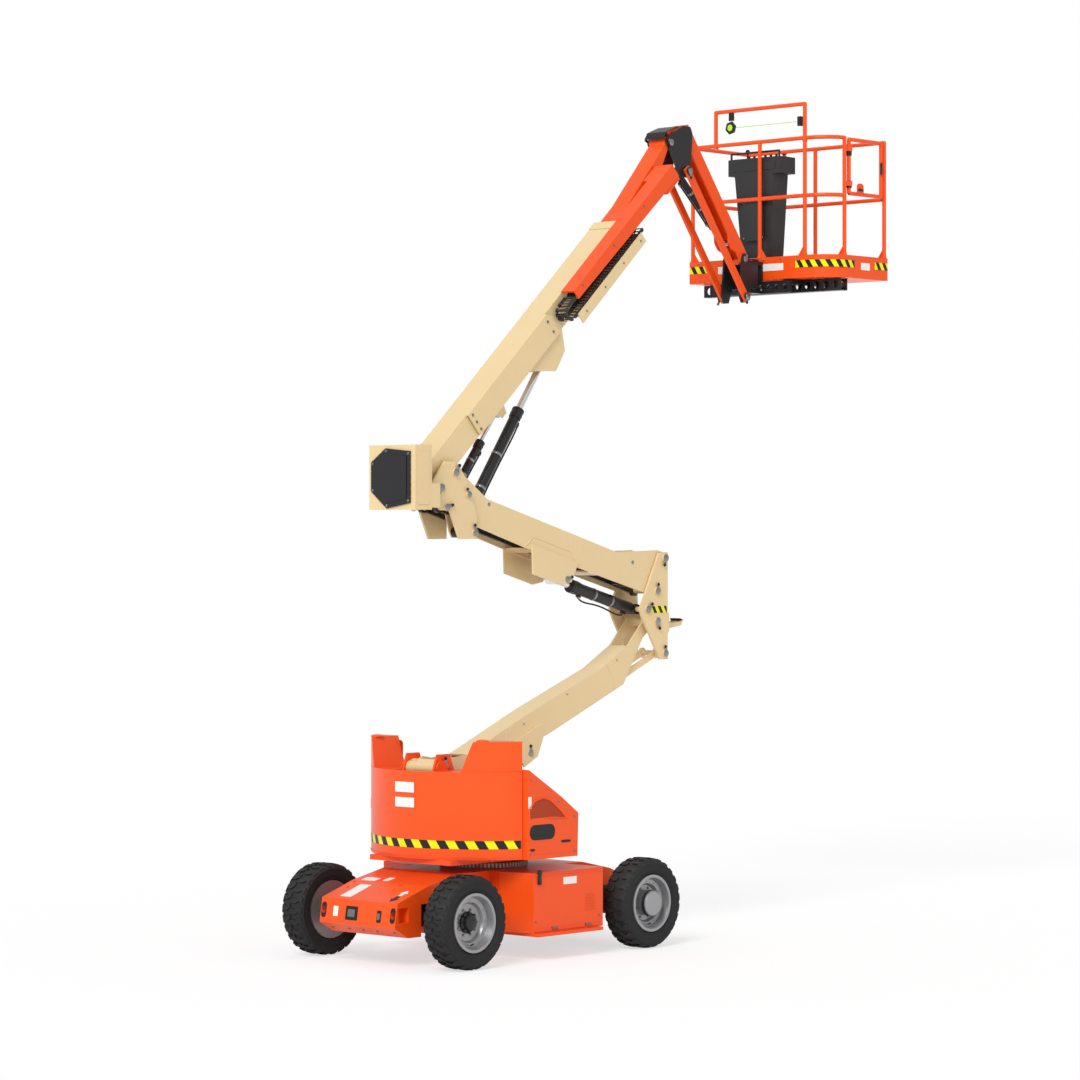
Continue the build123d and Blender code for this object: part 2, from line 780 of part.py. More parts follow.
# Fly: the sliding box tube with an upswept head, and the side rail that pulls the cable chain
with BuildPart() as fly_boom:
    add(tube_along(fly_tail, 3560, fly_half, fly_bottom, fly_top))
    add(plate(boom_plane, [
        (3150, fly_top - 1),
        (3150, fly_bottom),
        (3600, fly_bottom + 5),
        (3654, 103),
        (3900, 200),
        (3985, 225),
        (3990, 264),
        (3940, 262),
    ], -84, 84))
    add(tube_along(fly_tail - 10, 3500, fly_half - fly_wall, fly_bottom + fly_wall, fly_top - fly_wall), mode=Mode.SUBTRACT)
    inner_pad = inner_half - running_gap
    for low, high in ((-inner_pad, -fly_half), (fly_half, inner_pad)):
        add(plate(boom_plane, [
            (fly_tail, fly_bottom),
            (fly_tail + pad_length, fly_bottom),
            (fly_tail + pad_length, fly_top),
            (fly_tail, fly_top),
        ], low, high))
    add(tube_along(fly_tail, fly_tail + pad_length, 60, boom_bottom + boom_wall + running_gap, fly_bottom))
    add(tube_along(fly_tail, fly_tail + pad_length, 60, fly_top, boom_top - boom_wall - running_gap))
    add(plate(boom_plane, [(2087, 196), (3700, 196), (3700, 212), (2087, 212)], -265, -135))
    add(plate(boom_plane, [(2087, 130), (3700, 90), (3700, 212), (2087, 212)], -277, -265))
    add(plate(boom_plane, [(3500, 60), (3700, 60), (3700, 212), (3500, 212)], -270, -90))
    add(bar(side, knuckle_pin, 50, -84, 84))
    add(bar(side, knuckle_pin, pin_radius + pin_clearance, -300, 300), mode=Mode.SUBTRACT)

# Cable chain: a hairpin of links between the tray and the side rail
chain_mid_bottom = 37
chain_mid_top = 150
chain_thick = 34
with BuildPart() as cable_chain:
    with BuildSketch(boom_plane.offset(145)):
        with BuildLine():
            Line((3088, chain_mid_bottom), (1960, chain_mid_bottom))
            ThreePointArc((1960, chain_mid_bottom), (1960 - 54, 96), (1960, chain_mid_top))
            Line((1960, chain_mid_top), (2080, chain_mid_top))
        trace(line_width=chain_thick)
    extrude(amount=110)

# Jib knuckle: two plates that keep the jib's pins level with the platform
jib_low_pin = shifted(jib_top_pin, jib_link_offset)
jib_step = (jib_length * math.cos(math.radians(jib_angle)), jib_length * math.sin(math.radians(jib_angle)))
jib_end_top = shifted(jib_top_pin, jib_step)
jib_end_low = shifted(jib_low_pin, jib_step)
knuckle_reach = knuckle_plate_inner + knuckle_plate_thickness
link_pin_reach = jib_link_inner + jib_link_thickness + 4
with BuildPart() as jib_knuckle:
    for cheek in pair(side, [
        shifted(knuckle_pin, (-50, 10)),
        shifted(knuckle_pin, (-20, 55)),
        shifted(jib_top_pin, (-60, 55)),
        shifted(jib_top_pin, (30, 50)),
        shifted(jib_top_pin, (55, 0)),
        shifted(jib_low_pin, (60, 0)),
        shifted(jib_low_pin, (20, -50)),
        shifted(jib_low_pin, (-80, -40)),
    ], knuckle_plate_inner, knuckle_plate_thickness):
        add(cheek)
    add(bar(side, knuckle_pin, pin_radius, -knuckle_reach, knuckle_reach))
    add(bar(side, jib_low_pin, pin_radius, -link_pin_reach, link_pin_reach))
    for low in (-knuckle_reach, 50):
        add(bar(side, jib_top_pin, pin_radius, low, low + knuckle_reach - 50))
    for low in (-knuckle_reach - pin_head, knuckle_reach):
        add(bar(side, knuckle_pin, pin_head_radius, low, low + pin_head))
    for low in (-link_pin_reach - pin_head, link_pin_reach):
        add(bar(side, jib_low_pin, pin_head_radius, low, low + pin_head))

# Jib beam: an open-bottomed channel that the jib cylinder folds into
jib_plane = leaning(jib_top_pin, jib_angle)
jib_head = jib_plane.from_local_coords(Vector(jib_pin_along, jib_pin_below, 0))
jib_pin = (jib_head.X, jib_head.Z)
with BuildPart() as jib_beam:
    add(channel(jib_plane, -40, jib_length + 32, -42, 66, jib_half, jib_wall))
    for cheek in pair(jib_plane, [
        (jib_pin_along - 90, -41),
        (jib_pin_along - 35, jib_pin_below - 30),
        (jib_pin_along + 35, jib_pin_below - 30),
        (jib_pin_along + 90, -41),
    ], jib_half - jib_wall, jib_wall):
        add(cheek)
    for point in (jib_top_pin, jib_end_top):
        for low in (-knuckle_plate_inner + 1, jib_half - jib_wall):
            width = knuckle_plate_inner - 1 - jib_half + jib_wall
            add(bar(side, point, 44, low, low + width))
    add(plate(jib_plane, [
        (jib_length - 260, 40),
        (jib_length - 150, 150),
        (jib_length - 60, 150),
        (jib_length + 20, 30),
    ], jib_half - jib_wall, jib_half))
    for point in (jib_top_pin, jib_end_top):
        add(bar(side, point, pin_radius + pin_clearance, -300, 300), mode=Mode.SUBTRACT)

# Jib level links: a bar each side
with BuildPart() as jib_links:
    link_plane = leaning(jib_low_pin, jib_angle)
    for cheek in pair(link_plane, [
        (-34, -30),
        (jib_length + 34, -30),
        (jib_length + 34, 30),
        (-34, 30),
    ], jib_link_inner, jib_link_thickness):
        add(cheek)
    for point in (jib_low_pin, jib_end_low):
        add(bar(side, point, pin_radius + pin_clearance, -300, 300), mode=Mode.SUBTRACT)

# Platform bracket: plates from the jib's lower pins to the rotator drum
lug_thickness = 30
drum_bottom = floor_height - 105
drum_top = floor_height + 105
with BuildPart() as platform_bracket:
    for cheek in pair(side, [
        shifted(jib_end_top, (-45, 0)),
        shifted(jib_end_top, (-20, 44)),
        shifted(jib_end_top, (30, 40)),
        (rotator_x - rotator_radius - 14, drum_top),
        (rotator_x + 30, drum_top),
        (rotator_x + 30, drum_bottom),
        (rotator_x - 75, drum_bottom),
        shifted(jib_end_low, (40, -45)),
        shifted(jib_end_low, (-20, -50)),
        shifted(jib_end_low, (-45, 0)),
    ], knuckle_plate_inner, knuckle_plate_thickness):
        add(cheek)
    for low in (-link_pin_reach, knuckle_plate_inner):
        add(bar(side, jib_end_low, pin_radius, low, low + link_pin_reach - knuckle_plate_inner))
    for low in (-knuckle_reach, 50):
        add(bar(side, jib_end_top, pin_radius, low, low + knuckle_reach - 50))
    for low in (-link_pin_reach - pin_head, link_pin_reach):
        add(bar(side, jib_end_low, pin_head_radius, low, low + pin_head))
    add(box(
        (rotator_x - rotator_radius + 12, -knuckle_plate_inner, drum_bottom),
        (rotator_x + 30, knuckle_plate_inner, drum_top),
    ))
    with BuildSketch(Plane.XY.offset(drum_bottom)):
        with Locations((rotator_x, 0)):
            Circle(rotator_radius)
    extrude(amount=drum_top - drum_bottom)

# Platform support: a perforated channel under the floor, hung on the rotator
support_face = platform_boom_side - 2
support_wall = 20
with BuildPart() as platform_support:
    for level in (drum_top + running_gap, drum_bottom - running_gap - lug_thickness):
        with BuildSketch(Plane.XY.offset(level)):
            with Locations((rotator_x, 0)):
                Circle(rotator_radius + 10)
            with Locations(((rotator_x + support_face) / 2, 0)):
                Rectangle(support_face - rotator_x, 2 * rotator_radius)
        extrude(amount=lug_thickness)
    low_lug = drum_bottom - running_gap - lug_thickness
    high_lug = drum_top + running_gap + lug_thickness
    add(box((support_face - support_wall, -rotator_radius, low_lug), (support_face, rotator_radius, high_lug)))
    add(box((support_face - support_wall, -360, low_lug), (support_face, 360, low_lug + 100)))
    with BuildSketch(Plane.YZ.offset(support_face - 2 * support_wall)):
        with GridLocations(86, 1, 8, 1):
            with Locations((0, low_lug + 50)):
                Circle(24)
    extrude(amount=3 * support_wall, mode=Mode.SUBTRACT)
    for hand in (-1, 1):
        add(box(
            (support_face, hand * 300 - 30, floor_base - 47),
            (platform_boom_side + platform_depth - 40, hand * 300 + 30, floor_base),
        ))



def near_corner(start_x, start_y, inset):
    """Chords round the platform's near corner on the boom side, from the boom's side to the gate."""
    depth = corner_depth + rail_in - inset
    width = corner_width + rail_in - inset
    turns = [math.radians(step * 22.5) for step in range(5)]
    return [(start_x + depth * (1 - math.cos(t)), start_y + width * (1 - math.sin(t))) for t in turns]


# Platform floor: a tray with a toe board all round
rail_in = rail_radius + 4
toe_wall = 14
floor_far_x = platform_boom_side + platform_depth
with BuildPart() as platform_floor:
    for low, high, inset, kind in (
        (floor_base, floor_base + toe_board_height, 0, Mode.ADD),
        (floor_height, floor_height + toe_board_height, toe_wall, Mode.SUBTRACT),
    ):
        with BuildSketch(Plane.XY.offset(low)):
            with BuildLine():
                Polyline(
                    *near_corner(platform_boom_side + inset, inset - platform_half, inset),
                    (floor_far_x - inset, inset - platform_half),
                    (floor_far_x - inset, platform_half - inset),
                    (platform_boom_side + inset, platform_half - inset),
                    close=True,
                )
            make_face()
        extrude(amount=high - low, mode=kind)


def rail(points):
    """A round tube through a list of points, with a ball at each corner."""
    with BuildPart() as made:
        for start, end in zip(points, points[1:]):
            run = Vector(*end) - Vector(*start)
            with BuildSketch(Plane(origin=start, z_dir=run)):
                Circle(rail_radius)
            extrude(amount=run.length)
        for corner in points[1:-1]:
            with Locations(corner):
                Sphere(rail_radius)
    return made.part


# Platform rails, with a post at the gate and one where the high rail stands
boom_x = platform_boom_side + rail_in
far_x = platform_boom_side + platform_depth - rail_in
near_y = -platform_half + rail_in
back_y = platform_half - rail_in
foot_z = floor_base + toe_board_height
mid_z = (foot_z + rail_height) / 2
top_z = rail_height - rail_radius
corner_run = near_corner(boom_x, near_y, rail_in)
gate_post = corner_run[-1]
corner_post = corner_run[0]
gate_hinge_x = gate_post[0] + 60
gate_low = mid_z + 20
gate_high = top_z - 10
latch_x = far_x - 44
with BuildPart() as platform_rails:
    top_corner = [(x, y, top_z) for x, y in reversed(corner_run)]
    mid_corner = [(x, y, mid_z) for x, y in reversed(corner_run)]
    add(rail([(*gate_post, foot_z), *top_corner, (boom_x, back_y, top_z), (boom_x, back_y, foot_z)]))
    add(rail([(boom_x, back_y, top_z), (far_x, back_y, top_z), (far_x, back_y, foot_z)]))
    add(rail([(far_x, back_y, top_z), (far_x, near_y, top_z), (far_x, near_y, foot_z)]))
    add(rail([*mid_corner, (boom_x, back_y, mid_z), (far_x, back_y, mid_z), (far_x, near_y, mid_z)]))
    add(rail([(boom_x, 0, foot_z), (boom_x, 0, top_z)]))
    add(rail([(far_x, 0, foot_z), (far_x, 0, top_z)]))
    high_z = high_rail_height - rail_radius
    add(rail([
        (*corner_post, foot_z),
        (*corner_post, high_z),
        (boom_x, 482, high_z),
        (boom_x, 482, top_z),
    ]))
    for level in (gate_low + 60, gate_high - 100):
        with BuildSketch(Plane.XY.offset(level)):
            with Locations((gate_hinge_x, near_y)):
                Circle(rail_radius + 12)
            with Locations(((gate_post[0] + gate_hinge_x) / 2, near_y)):
                Rectangle(gate_hinge_x - gate_post[0], 2 * rail_radius)
            with Locations((gate_hinge_x, near_y)):
                Circle(rail_radius + running_gap, mode=Mode.SUBTRACT)
        extrude(amount=40)

# Console: a tapered cabinet with a wide control box on top
console_top = floor_height + 885
with BuildPart() as console:
    with BuildSketch(Plane.XY.offset(floor_height)):
        with Locations((boom_x + 150, 90)):
            Rectangle(150, 300)
    with BuildSketch(Plane.XY.offset(console_top)):
        with Locations((boom_x + 130, 90)):
            Rectangle(200, 420)
    loft()
    add(box((boom_x + 30, -190, console_top), (boom_x + 240, 370, console_top + 140)))

# Gate: a loop hinged on its post at the near end
with BuildPart() as gate:
    add(rail([
        (gate_hinge_x, near_y, gate_low),
        (gate_hinge_x, near_y, gate_high),
        (latch_x, near_y, gate_high),
        (latch_x, near_y, gate_low),
        (gate_hinge_x, near_y, gate_low),
    ]))

# Cylinders: a barrel and a rod each
with BuildPart() as lower_barrel:
    add(cylinder_barrel(lower_cylinder_foot, lower_cylinder_pin, 55, 30, 60, 900, pin_radius))
with BuildPart() as lower_rod:
    add(cylinder_rod(lower_cylinder_foot, lower_cylinder_pin, 30, 50, 480, pin_radius))
with BuildPart() as upper_barrel:
    add(cylinder_barrel(upright_cylinder_pin, upper_cylinder_pin, 48, 26, 60, 780, pin_radius))
with BuildPart() as upper_rod:
    add(cylinder_rod(upright_cylinder_pin, upper_cylinder_pin, 26, 50, 250, pin_radius))
with BuildPart() as lift_barrel:
    add(cylinder_barrel(lift_foot, lift_pin, 42, 28, 44, 1180, pin_radius))
with BuildPart() as lift_rod:
    add(cylinder_rod(lift_foot, lift_pin, 28, 36, 560, small_pin_radius))
with BuildPart() as level_barrel:
    add(cylinder_barrel(level_foot, level_pin, 32, 15, 44, 520, small_pin_radius))
with BuildPart() as level_rod:
    add(cylinder_rod(level_foot, level_pin, 15, 26, 260, small_pin_radius))
with BuildPart() as jib_barrel:
    add(cylinder_barrel(jib_low_pin, jib_pin, 30, 17, 36, 640, pin_radius))
with BuildPart() as jib_rod:
    add(cylinder_rod(jib_low_pin, jib_pin, 17, 24, 110, small_pin_radius))

pieces = {
    "chassis_frame": chassis_frame,
    "battery_boxes": battery_boxes,
    "steer_axle": steer_axle,
    "drive_axle": drive_axle,
    "knuckle_near": knuckle_near,
    "knuckle_far": knuckle_far,
    "turntable_frame": turntable_frame,
    "counterweight_hood": counterweight_hood,
    "side_covers": side_covers,
    "lower_beam": lower_beam,
    "lower_link": lower_link,
    "lower_barrel": lower_barrel,
    "lower_rod": lower_rod,
    "mid_upright": mid_upright,
    "upper_beam": upper_beam,
    "upper_link": upper_link,
    "upper_barrel": upper_barrel,
    "upper_rod": upper_rod,
    "boom_head": boom_head,
    "lift_barrel": lift_barrel,
    "lift_rod": lift_rod,
    "level_barrel": level_barrel,
    "level_rod": level_rod,
    "main_boom": main_boom,
    "cable_chain": cable_chain,
    "fly_boom": fly_boom,
    "jib_knuckle": jib_knuckle,
    "jib_beam": jib_beam,
    "jib_links": jib_links,
    "jib_barrel": jib_barrel,
    "jib_rod": jib_rod,
    "platform_bracket": platform_bracket,
    "platform_support": platform_support,
    "platform_floor": platform_floor,
    "platform_rails": platform_rails,
    "console": console,
    "gate": gate,
}
pieces.update(wheels)
for name, piece in pieces.items():
    save(piece, name)
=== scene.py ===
"""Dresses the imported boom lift: paint, rubber, steel, small fittings, hazard bands, and the studio."""
import json
from math import ceil, cos, pi, radians, sin, tau

import bmesh
import bpy
from mathutils import Matrix, Vector


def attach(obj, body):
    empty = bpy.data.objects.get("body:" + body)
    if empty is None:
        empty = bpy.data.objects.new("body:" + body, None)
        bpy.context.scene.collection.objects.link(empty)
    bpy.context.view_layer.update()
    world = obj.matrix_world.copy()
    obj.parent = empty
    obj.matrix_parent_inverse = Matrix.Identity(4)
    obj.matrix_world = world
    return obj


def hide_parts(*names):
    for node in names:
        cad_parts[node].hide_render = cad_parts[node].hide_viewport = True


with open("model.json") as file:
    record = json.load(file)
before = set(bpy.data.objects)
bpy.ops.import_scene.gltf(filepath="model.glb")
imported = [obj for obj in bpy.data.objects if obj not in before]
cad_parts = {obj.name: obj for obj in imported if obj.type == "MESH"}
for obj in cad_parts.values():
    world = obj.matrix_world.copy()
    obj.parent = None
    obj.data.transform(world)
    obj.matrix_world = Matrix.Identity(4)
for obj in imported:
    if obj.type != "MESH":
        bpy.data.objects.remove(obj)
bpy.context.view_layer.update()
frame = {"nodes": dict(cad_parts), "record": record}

# The machine's own origin is the slew axis; the frame's lies under the middle of its length
MIDDLE_X = 1.397
WHEEL_X = 1.005
WHEEL_Y = 0.755
TYRE_RADIUS = 0.354
RIM_RADIUS = 0.222
BOX_FACE = 0.8
UP = (0, 0, 1)
SIDES = ((-1, "near"), (1, "far"))


def at(x, y, z):
    """A point in the machine's own x, in the frame."""
    return Vector((x - MIDDLE_X, y, z))


def add_object(name, data):
    """A new object in the scene."""
    thing = bpy.data.objects.new(name, data)
    bpy.context.scene.collection.objects.link(thing)
    return thing


# Camera: level, from the front left, solved from the wheels and the platform
camera_data = bpy.data.cameras.new("camera")
camera = add_object("camera", camera_data)
camera.location = at(-20.4457, -19.3093, 3.1909)
camera.rotation_euler = (radians(90), 0, radians(-47.526))
camera_data.sensor_width = 36
camera_data.lens = 120.66
camera_data.clip_end = 300
bpy.context.scene.camera = camera
bpy.context.scene.view_settings.view_transform = "Standard"


# Materials
def linear(red, green, blue):
    """A display colour, 0 to 255, as linear light."""
    return tuple(
        channel / 255 / 12.92 if channel < 11 else ((channel / 255 + 0.055) / 1.055) ** 2.4
        for channel in (red, green, blue)
    )


def add_node(tree, kind, values=None):
    """A new shader node with the values of its inputs."""
    node = tree.nodes.new(f"ShaderNode{kind}")
    for key, value in (values or {}).items():
        node.inputs[key].default_value = value
    return node


DUST = (0.42, 0.38, 0.32, 1)


def surface(name, colour, rough, vary=0.12, grain=220.0, bump=0.0004, metallic=0.0, coat=0.0, dust=0.0):
    """A finish with mottled colour, uneven gloss, a fine grain and dust that gathers on what faces up."""
    material = bpy.data.materials.new(name)
    material.use_nodes = True
    tree = material.node_tree
    link = tree.links.new
    shader = tree.nodes["Principled BSDF"]
    for key, value in (
        ("Metallic", metallic), ("Coat Weight", coat), ("Coat Roughness", 0.12), ("Specular IOR Level", 0.3),
    ):
        shader.inputs[key].default_value = value
    place = add_node(tree, "TexCoord")
    broad = add_node(tree, "TexNoise", {"Scale": 2.3, "Detail": 5})
    fine = add_node(tree, "TexNoise", {"Scale": grain, "Detail": 3})
    for noise in (broad, fine):
        link(place.outputs["Object"], noise.inputs["Vector"])
    darker = (*[c * (1 - vary) for c in colour], 1)
    lighter = (*[min(1, c * (1 + vary)) for c in colour], 1)
    tint = add_node(tree, "Mix", {6: darker, 7: lighter})
    tint.data_type = "RGBA"
    link(broad.outputs["Fac"], tint.inputs[0])
    last = tint.outputs[2]
    if dust:
        facing = add_node(tree, "NewGeometry")
        parts = add_node(tree, "SeparateXYZ")
        link(facing.outputs["Normal"], parts.inputs[0])
        amount = add_node(tree, "Math")
        amount.operation = "MULTIPLY"
        amount.use_clamp = True
        link(parts.outputs["Z"], amount.inputs[0])
        link(broad.outputs["Fac"], amount.inputs[1])
        share = add_node(tree, "Math", {1: dust})
        share.operation = "MULTIPLY"
        link(amount.outputs[0], share.inputs[0])
        cover = add_node(tree, "Mix", {7: DUST})
        cover.data_type = "RGBA"
        link(share.outputs[0], cover.inputs[0])
        link(last, cover.inputs[6])
        last = cover.outputs[2]
    link(last, shader.inputs["Base Color"])
    gloss = add_node(tree, "MapRange", {"To Min": max(0.03, rough - 0.07), "To Max": rough + 0.09})
    link(fine.outputs["Fac"], gloss.inputs["Value"])
    link(gloss.outputs["Result"], shader.inputs["Roughness"])
    relief = add_node(tree, "Bump", {"Strength": 0.35, "Distance": bump})
    link(fine.outputs["Fac"], relief.inputs["Height"])
    link(relief.outputs["Normal"], shader.inputs["Normal"])
    return material


ORANGE = linear(238, 80, 14)
CREAM = linear(224, 198, 150)
orange = surface("orange_paint", ORANGE, 0.34, vary=0.06, coat=0.1, dust=0.03)
# A darker orange painted as shade: the recess inside each side cover's arch and the panel on each hood
# shoulder's end.
painted_recess_shade = surface("orange_painted_recess_shade", tuple(c * 0.45 for c in ORANGE), 0.45, vary=0.1)
cream = surface("cream_paint", CREAM, 0.34, vary=0.05, coat=0.2, dust=0.04)
black = surface("black_paint", (0.014, 0.014, 0.016), 0.34, vary=0.2, coat=0.15, dust=0.05)
rubber = surface("tyre_rubber", (0.016, 0.016, 0.017), 0.72, vary=0.3, grain=90.0, bump=0.0012, dust=0.05)
silver = surface("rim_silver", (0.36, 0.36, 0.37), 0.36, vary=0.12, metallic=0.75, dust=0.06)
zinc = surface("zinc_steel", (0.3, 0.3, 0.29), 0.3, vary=0.25, metallic=1.0)
chrome = surface("rod_chrome", (0.72, 0.72, 0.74), 0.12, vary=0.05, metallic=1.0, bump=0.0001)
plastic = surface("chain_plastic", (0.035, 0.035, 0.038), 0.5, vary=0.2, bump=0.0006)
moulded = surface("console_plastic", (0.028, 0.028, 0.03), 0.46, vary=0.2, grain=500.0, bump=0.0008)
hose_rubber = surface("hose_rubber", (0.012, 0.012, 0.013), 0.42, vary=0.25, grain=300.0)
white = surface("blank_plate", (0.8, 0.8, 0.78), 0.4, vary=0.03)
hazard_yellow = surface("hazard_yellow", (0.82, 0.78, 0.0), 0.35, vary=0.05)
hazard_black = surface("hazard_black", (0.012, 0.012, 0.012), 0.38, vary=0.1)
signal_red = surface("signal_red", (0.55, 0.015, 0.01), 0.3, vary=0.05, coat=0.3)
lime = surface("lime_cover", (0.45, 0.75, 0.03), 0.35, vary=0.06)

finishes = dict(
    orange_paint=orange, cream_paint=cream, black_paint=black, tyre_rubber=rubber,
    rim_silver=silver, rod_chrome=chrome, chain_plastic=plastic, console_plastic=moulded,
)
for part in frame["record"]["subparts"]:
    node = frame["nodes"][part["node"]]
    node.data.materials.clear()
    node.data.materials.append(finishes[part["material_slot"]])


# Making pieces
def finish_piece(name, mesh, body, materials, bevel=0.0, smooth=True):
    """Turn a bmesh into a piece that rides on a body, with a small bevel where asked."""
    bmesh.ops.recalc_face_normals(mesh, faces=mesh.faces[:])
    data = bpy.data.meshes.new(name)
    mesh.to_mesh(data)
    mesh.free()
    piece = add_object(name, data)
    for material in materials:
        data.materials.append(material)
    if smooth:
        data.shade_smooth()
        data.set_sharp_from_angle(angle=radians(35))
    if bevel:
        edge = piece.modifiers.new("edges", "BEVEL")
        edge.width = bevel
        edge.segments = 2
        edge.limit_method = "ANGLE"
        edge.angle_limit = radians(40)
    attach(piece, body)
    return piece


def frame_of(normal, up):
    """Right, up and outward axes of a face."""
    outward = Vector(normal).normalized()
    right = Vector(up).cross(outward).normalized()
    return right, outward.cross(right).normalized(), outward


def bridge(mesh, low, high, material=0):
    """Faces between two closed rings that have as many points."""
    for index in range(len(low)):
        after = (index + 1) % len(low)
        face = mesh.faces.new((low[index], low[after], high[after], high[index]))
        face.material_index = material


def prism(mesh, outline, offset, material=0):
    """Close a flat outline of points into a prism along an offset."""
    base = [mesh.verts.new(point) for point in outline]
    top = [mesh.verts.new(Vector(point) + Vector(offset)) for point in outline]
    for ring in (base, top):
        mesh.faces.new(ring).material_index = material
    bridge(mesh, base, top, material)


def rounded(centre, normal, up, width, height, corner, steps=4):
    """Points of a rounded rectangle on a face."""
    right, upward, _ = frame_of(normal, up)
    points = []
    for turn, (sx, sy) in enumerate(((1, 1), (-1, 1), (-1, -1), (1, -1))):
        middle = Vector(centre) + right * sx * (width / 2 - corner) + upward * sy * (height / 2 - corner)
        for step in range(steps + 1):
            angle = radians(90 * (turn + step / steps))
            points.append(middle + (right * cos(angle) + upward * sin(angle)) * corner)
    return points


def pad(mesh, centre, normal, up, width, height, thick, corner, material=0):
    """A rounded plate that stands on a face."""
    outward = Vector(normal).normalized()
    prism(mesh, rounded(centre, normal, up, width, height, corner), outward * thick, material)


def lathe(mesh, centre, axis, profile, segments=24, material=0):
    """Turn a profile of (radius, height along the axis) about the axis, closed at both ends."""
    axis = Vector(axis).normalized()
    side = axis.orthogonal().normalized()
    other = axis.cross(side)
    rings = []
    for radius, height in profile:
        ring = []
        for index in range(segments):
            angle = tau * index / segments
            spoke = side * cos(angle) + other * sin(angle)
            ring.append(mesh.verts.new(Vector(centre) + axis * height + spoke * radius))
        rings.append(ring)
    for ring in (rings[0], rings[-1]):
        mesh.faces.new(ring).material_index = material
    for low, high in zip(rings, rings[1:]):
        bridge(mesh, low, high, material)


def bolt(mesh, centre, axis, size, material=0):
    """A washer, a hexagon head and the end of its thread."""
    washer = [(size * 1.35, 0), (size * 1.35, size * 0.22)]
    head = [(size, size * 0.22), (size, size * 0.8), (size * 0.82, size * 0.95)]
    thread = [(size * 0.45, size * 0.9), (size * 0.4, size * 1.2)]
    for profile, segments in ((washer, 16), (head, 6), (thread, 12)):
        lathe(mesh, centre, axis, profile, segments, material)


def join(mesh, part):
    """Add one bmesh's shape to another and free it."""
    scratch = bpy.data.meshes.new("scratch")
    part.to_mesh(scratch)
    part.free()
    mesh.from_mesh(scratch)
    bpy.data.meshes.remove(scratch)


def hose(name, points, radius, body):
    """A clamped hose or pipe through a few points."""
    curve = bpy.data.curves.new(name, "CURVE")
    curve.dimensions = "3D"
    curve.bevel_depth = radius
    curve.bevel_resolution = 3
    curve.resolution_u = 8
    spline = curve.splines.new("NURBS")
    spline.points.add(len(points) - 1)
    for knot, point in zip(spline.points, points):
        knot.co = (*point, 1)
    spline.order_u = 3
    spline.use_endpoint_u = True
    curve.use_fill_caps = True
    curve.materials.append(hose_rubber)
    piece = add_object(name, curve)
    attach(piece, body)


STRIPE_LEAN = -0.6
STRIPE_CELLS = 3
FILM = 0.002


def hazard_band(name, path, height, body, pitch=0.09):
    """Slanted yellow and black stripes along a level path, as flat cells just off the surface."""
    lengths = [0.0]
    for start, end in zip(path, path[1:]):
        lengths.append(lengths[-1] + (end - start).length)

    def along(distance):
        distance = min(max(distance, 0.0), lengths[-1])
        for index in range(len(path) - 1):
            if distance <= lengths[index + 1] + 1e-9:
                share = (distance - lengths[index]) / (lengths[index + 1] - lengths[index])
                return path[index].lerp(path[index + 1], share)
        return path[-1]

    mesh = bmesh.new()
    rise = Vector(UP) * height
    slant = height * STRIPE_LEAN
    for stripe in range(-2, ceil(lengths[-1] / pitch * 2) + 2):
        for cell in range(STRIPE_CELLS):
            start = (stripe + cell / STRIPE_CELLS) * pitch / 2
            end = (stripe + (cell + 1) / STRIPE_CELLS) * pitch / 2
            low = [along(start), along(end)]
            high = [along(end + slant), along(start + slant)]
            if (low[1] - low[0]).length < 1e-4 and (high[0] - high[1]).length < 1e-4:
                continue
            cell_points = [*low, high[0] + rise, high[1] + rise]
            face = mesh.faces.new([mesh.verts.new(point) for point in cell_points])
            face.material_index = stripe % 2
    bmesh.ops.remove_doubles(mesh, verts=mesh.verts[:], dist=1e-5)
    piece = finish_piece(name, mesh, body, [hazard_yellow, hazard_black], smooth=False)
    thick = piece.modifiers.new("film", "SOLIDIFY")
    thick.thickness = FILM
    thick.offset = 0


# Tyres: a bulged sidewall with ribs and two rows of slanted lugs that wrap the shoulder
TYRE_STEPS = 96
TYRE_PROFILE = (
    (RIM_RADIUS, 0.088), (RIM_RADIUS + 0.012, 0.100), (RIM_RADIUS + 0.022, 0.100),
    (RIM_RADIUS + 0.026, 0.104), (RIM_RADIUS + 0.034, 0.104), (RIM_RADIUS + 0.038, 0.108),
    (0.288, 0.112), (0.306, 0.1105), (0.310, 0.1125), (0.318, 0.111),
    (0.331, 0.098), (0.338, 0.080), (0.340, 0.0),
)
LUG_COUNT = 26
LUG_DEPTH = 0.024
LUG_SLANT = 0.54
LUG_WAVER = (-0.02, 0.035)
# A lug's sections: how far from the tread's middle, the radius of its top, and half its width
LUG_SECTIONS = (
    (0.006, 0.3525, 0.018), (0.045, 0.3535, 0.015), (0.084, 0.350, 0.021),
    (0.103, 0.335, 0.023), (0.109, 0.312, 0.019),
)


def wheel_ring(mesh, centre, radius, height, steps):
    """A ring of points about a wheel's axle, at a height along it."""
    ring = []
    for index in range(steps):
        turn = tau * index / steps
        spot = Vector((radius * cos(turn), height, radius * sin(turn)))
        ring.append(mesh.verts.new(centre + spot))
    return ring


def tyre_lug(mesh, centre, turn, row, hand):
    """One lug, from the tread's middle out over the shoulder."""
    previous = None
    for depth, (width, top, half_width) in enumerate(LUG_SECTIONS):
        lean = turn + LUG_WAVER[depth % 2] + LUG_SLANT * width * row * hand
        foot = top - LUG_DEPTH
        ring = []
        for radius, edge in ((foot, -1), (foot, 1), (top, 1), (top, -1)):
            angle = lean + edge * half_width / top
            spot = Vector((radius * cos(angle), row * width, radius * sin(angle)))
            ring.append(mesh.verts.new(centre + spot))
        if previous:
            bridge(mesh, previous, ring)
        else:
            mesh.faces.new(ring)
        previous = ring
    mesh.faces.new(previous)


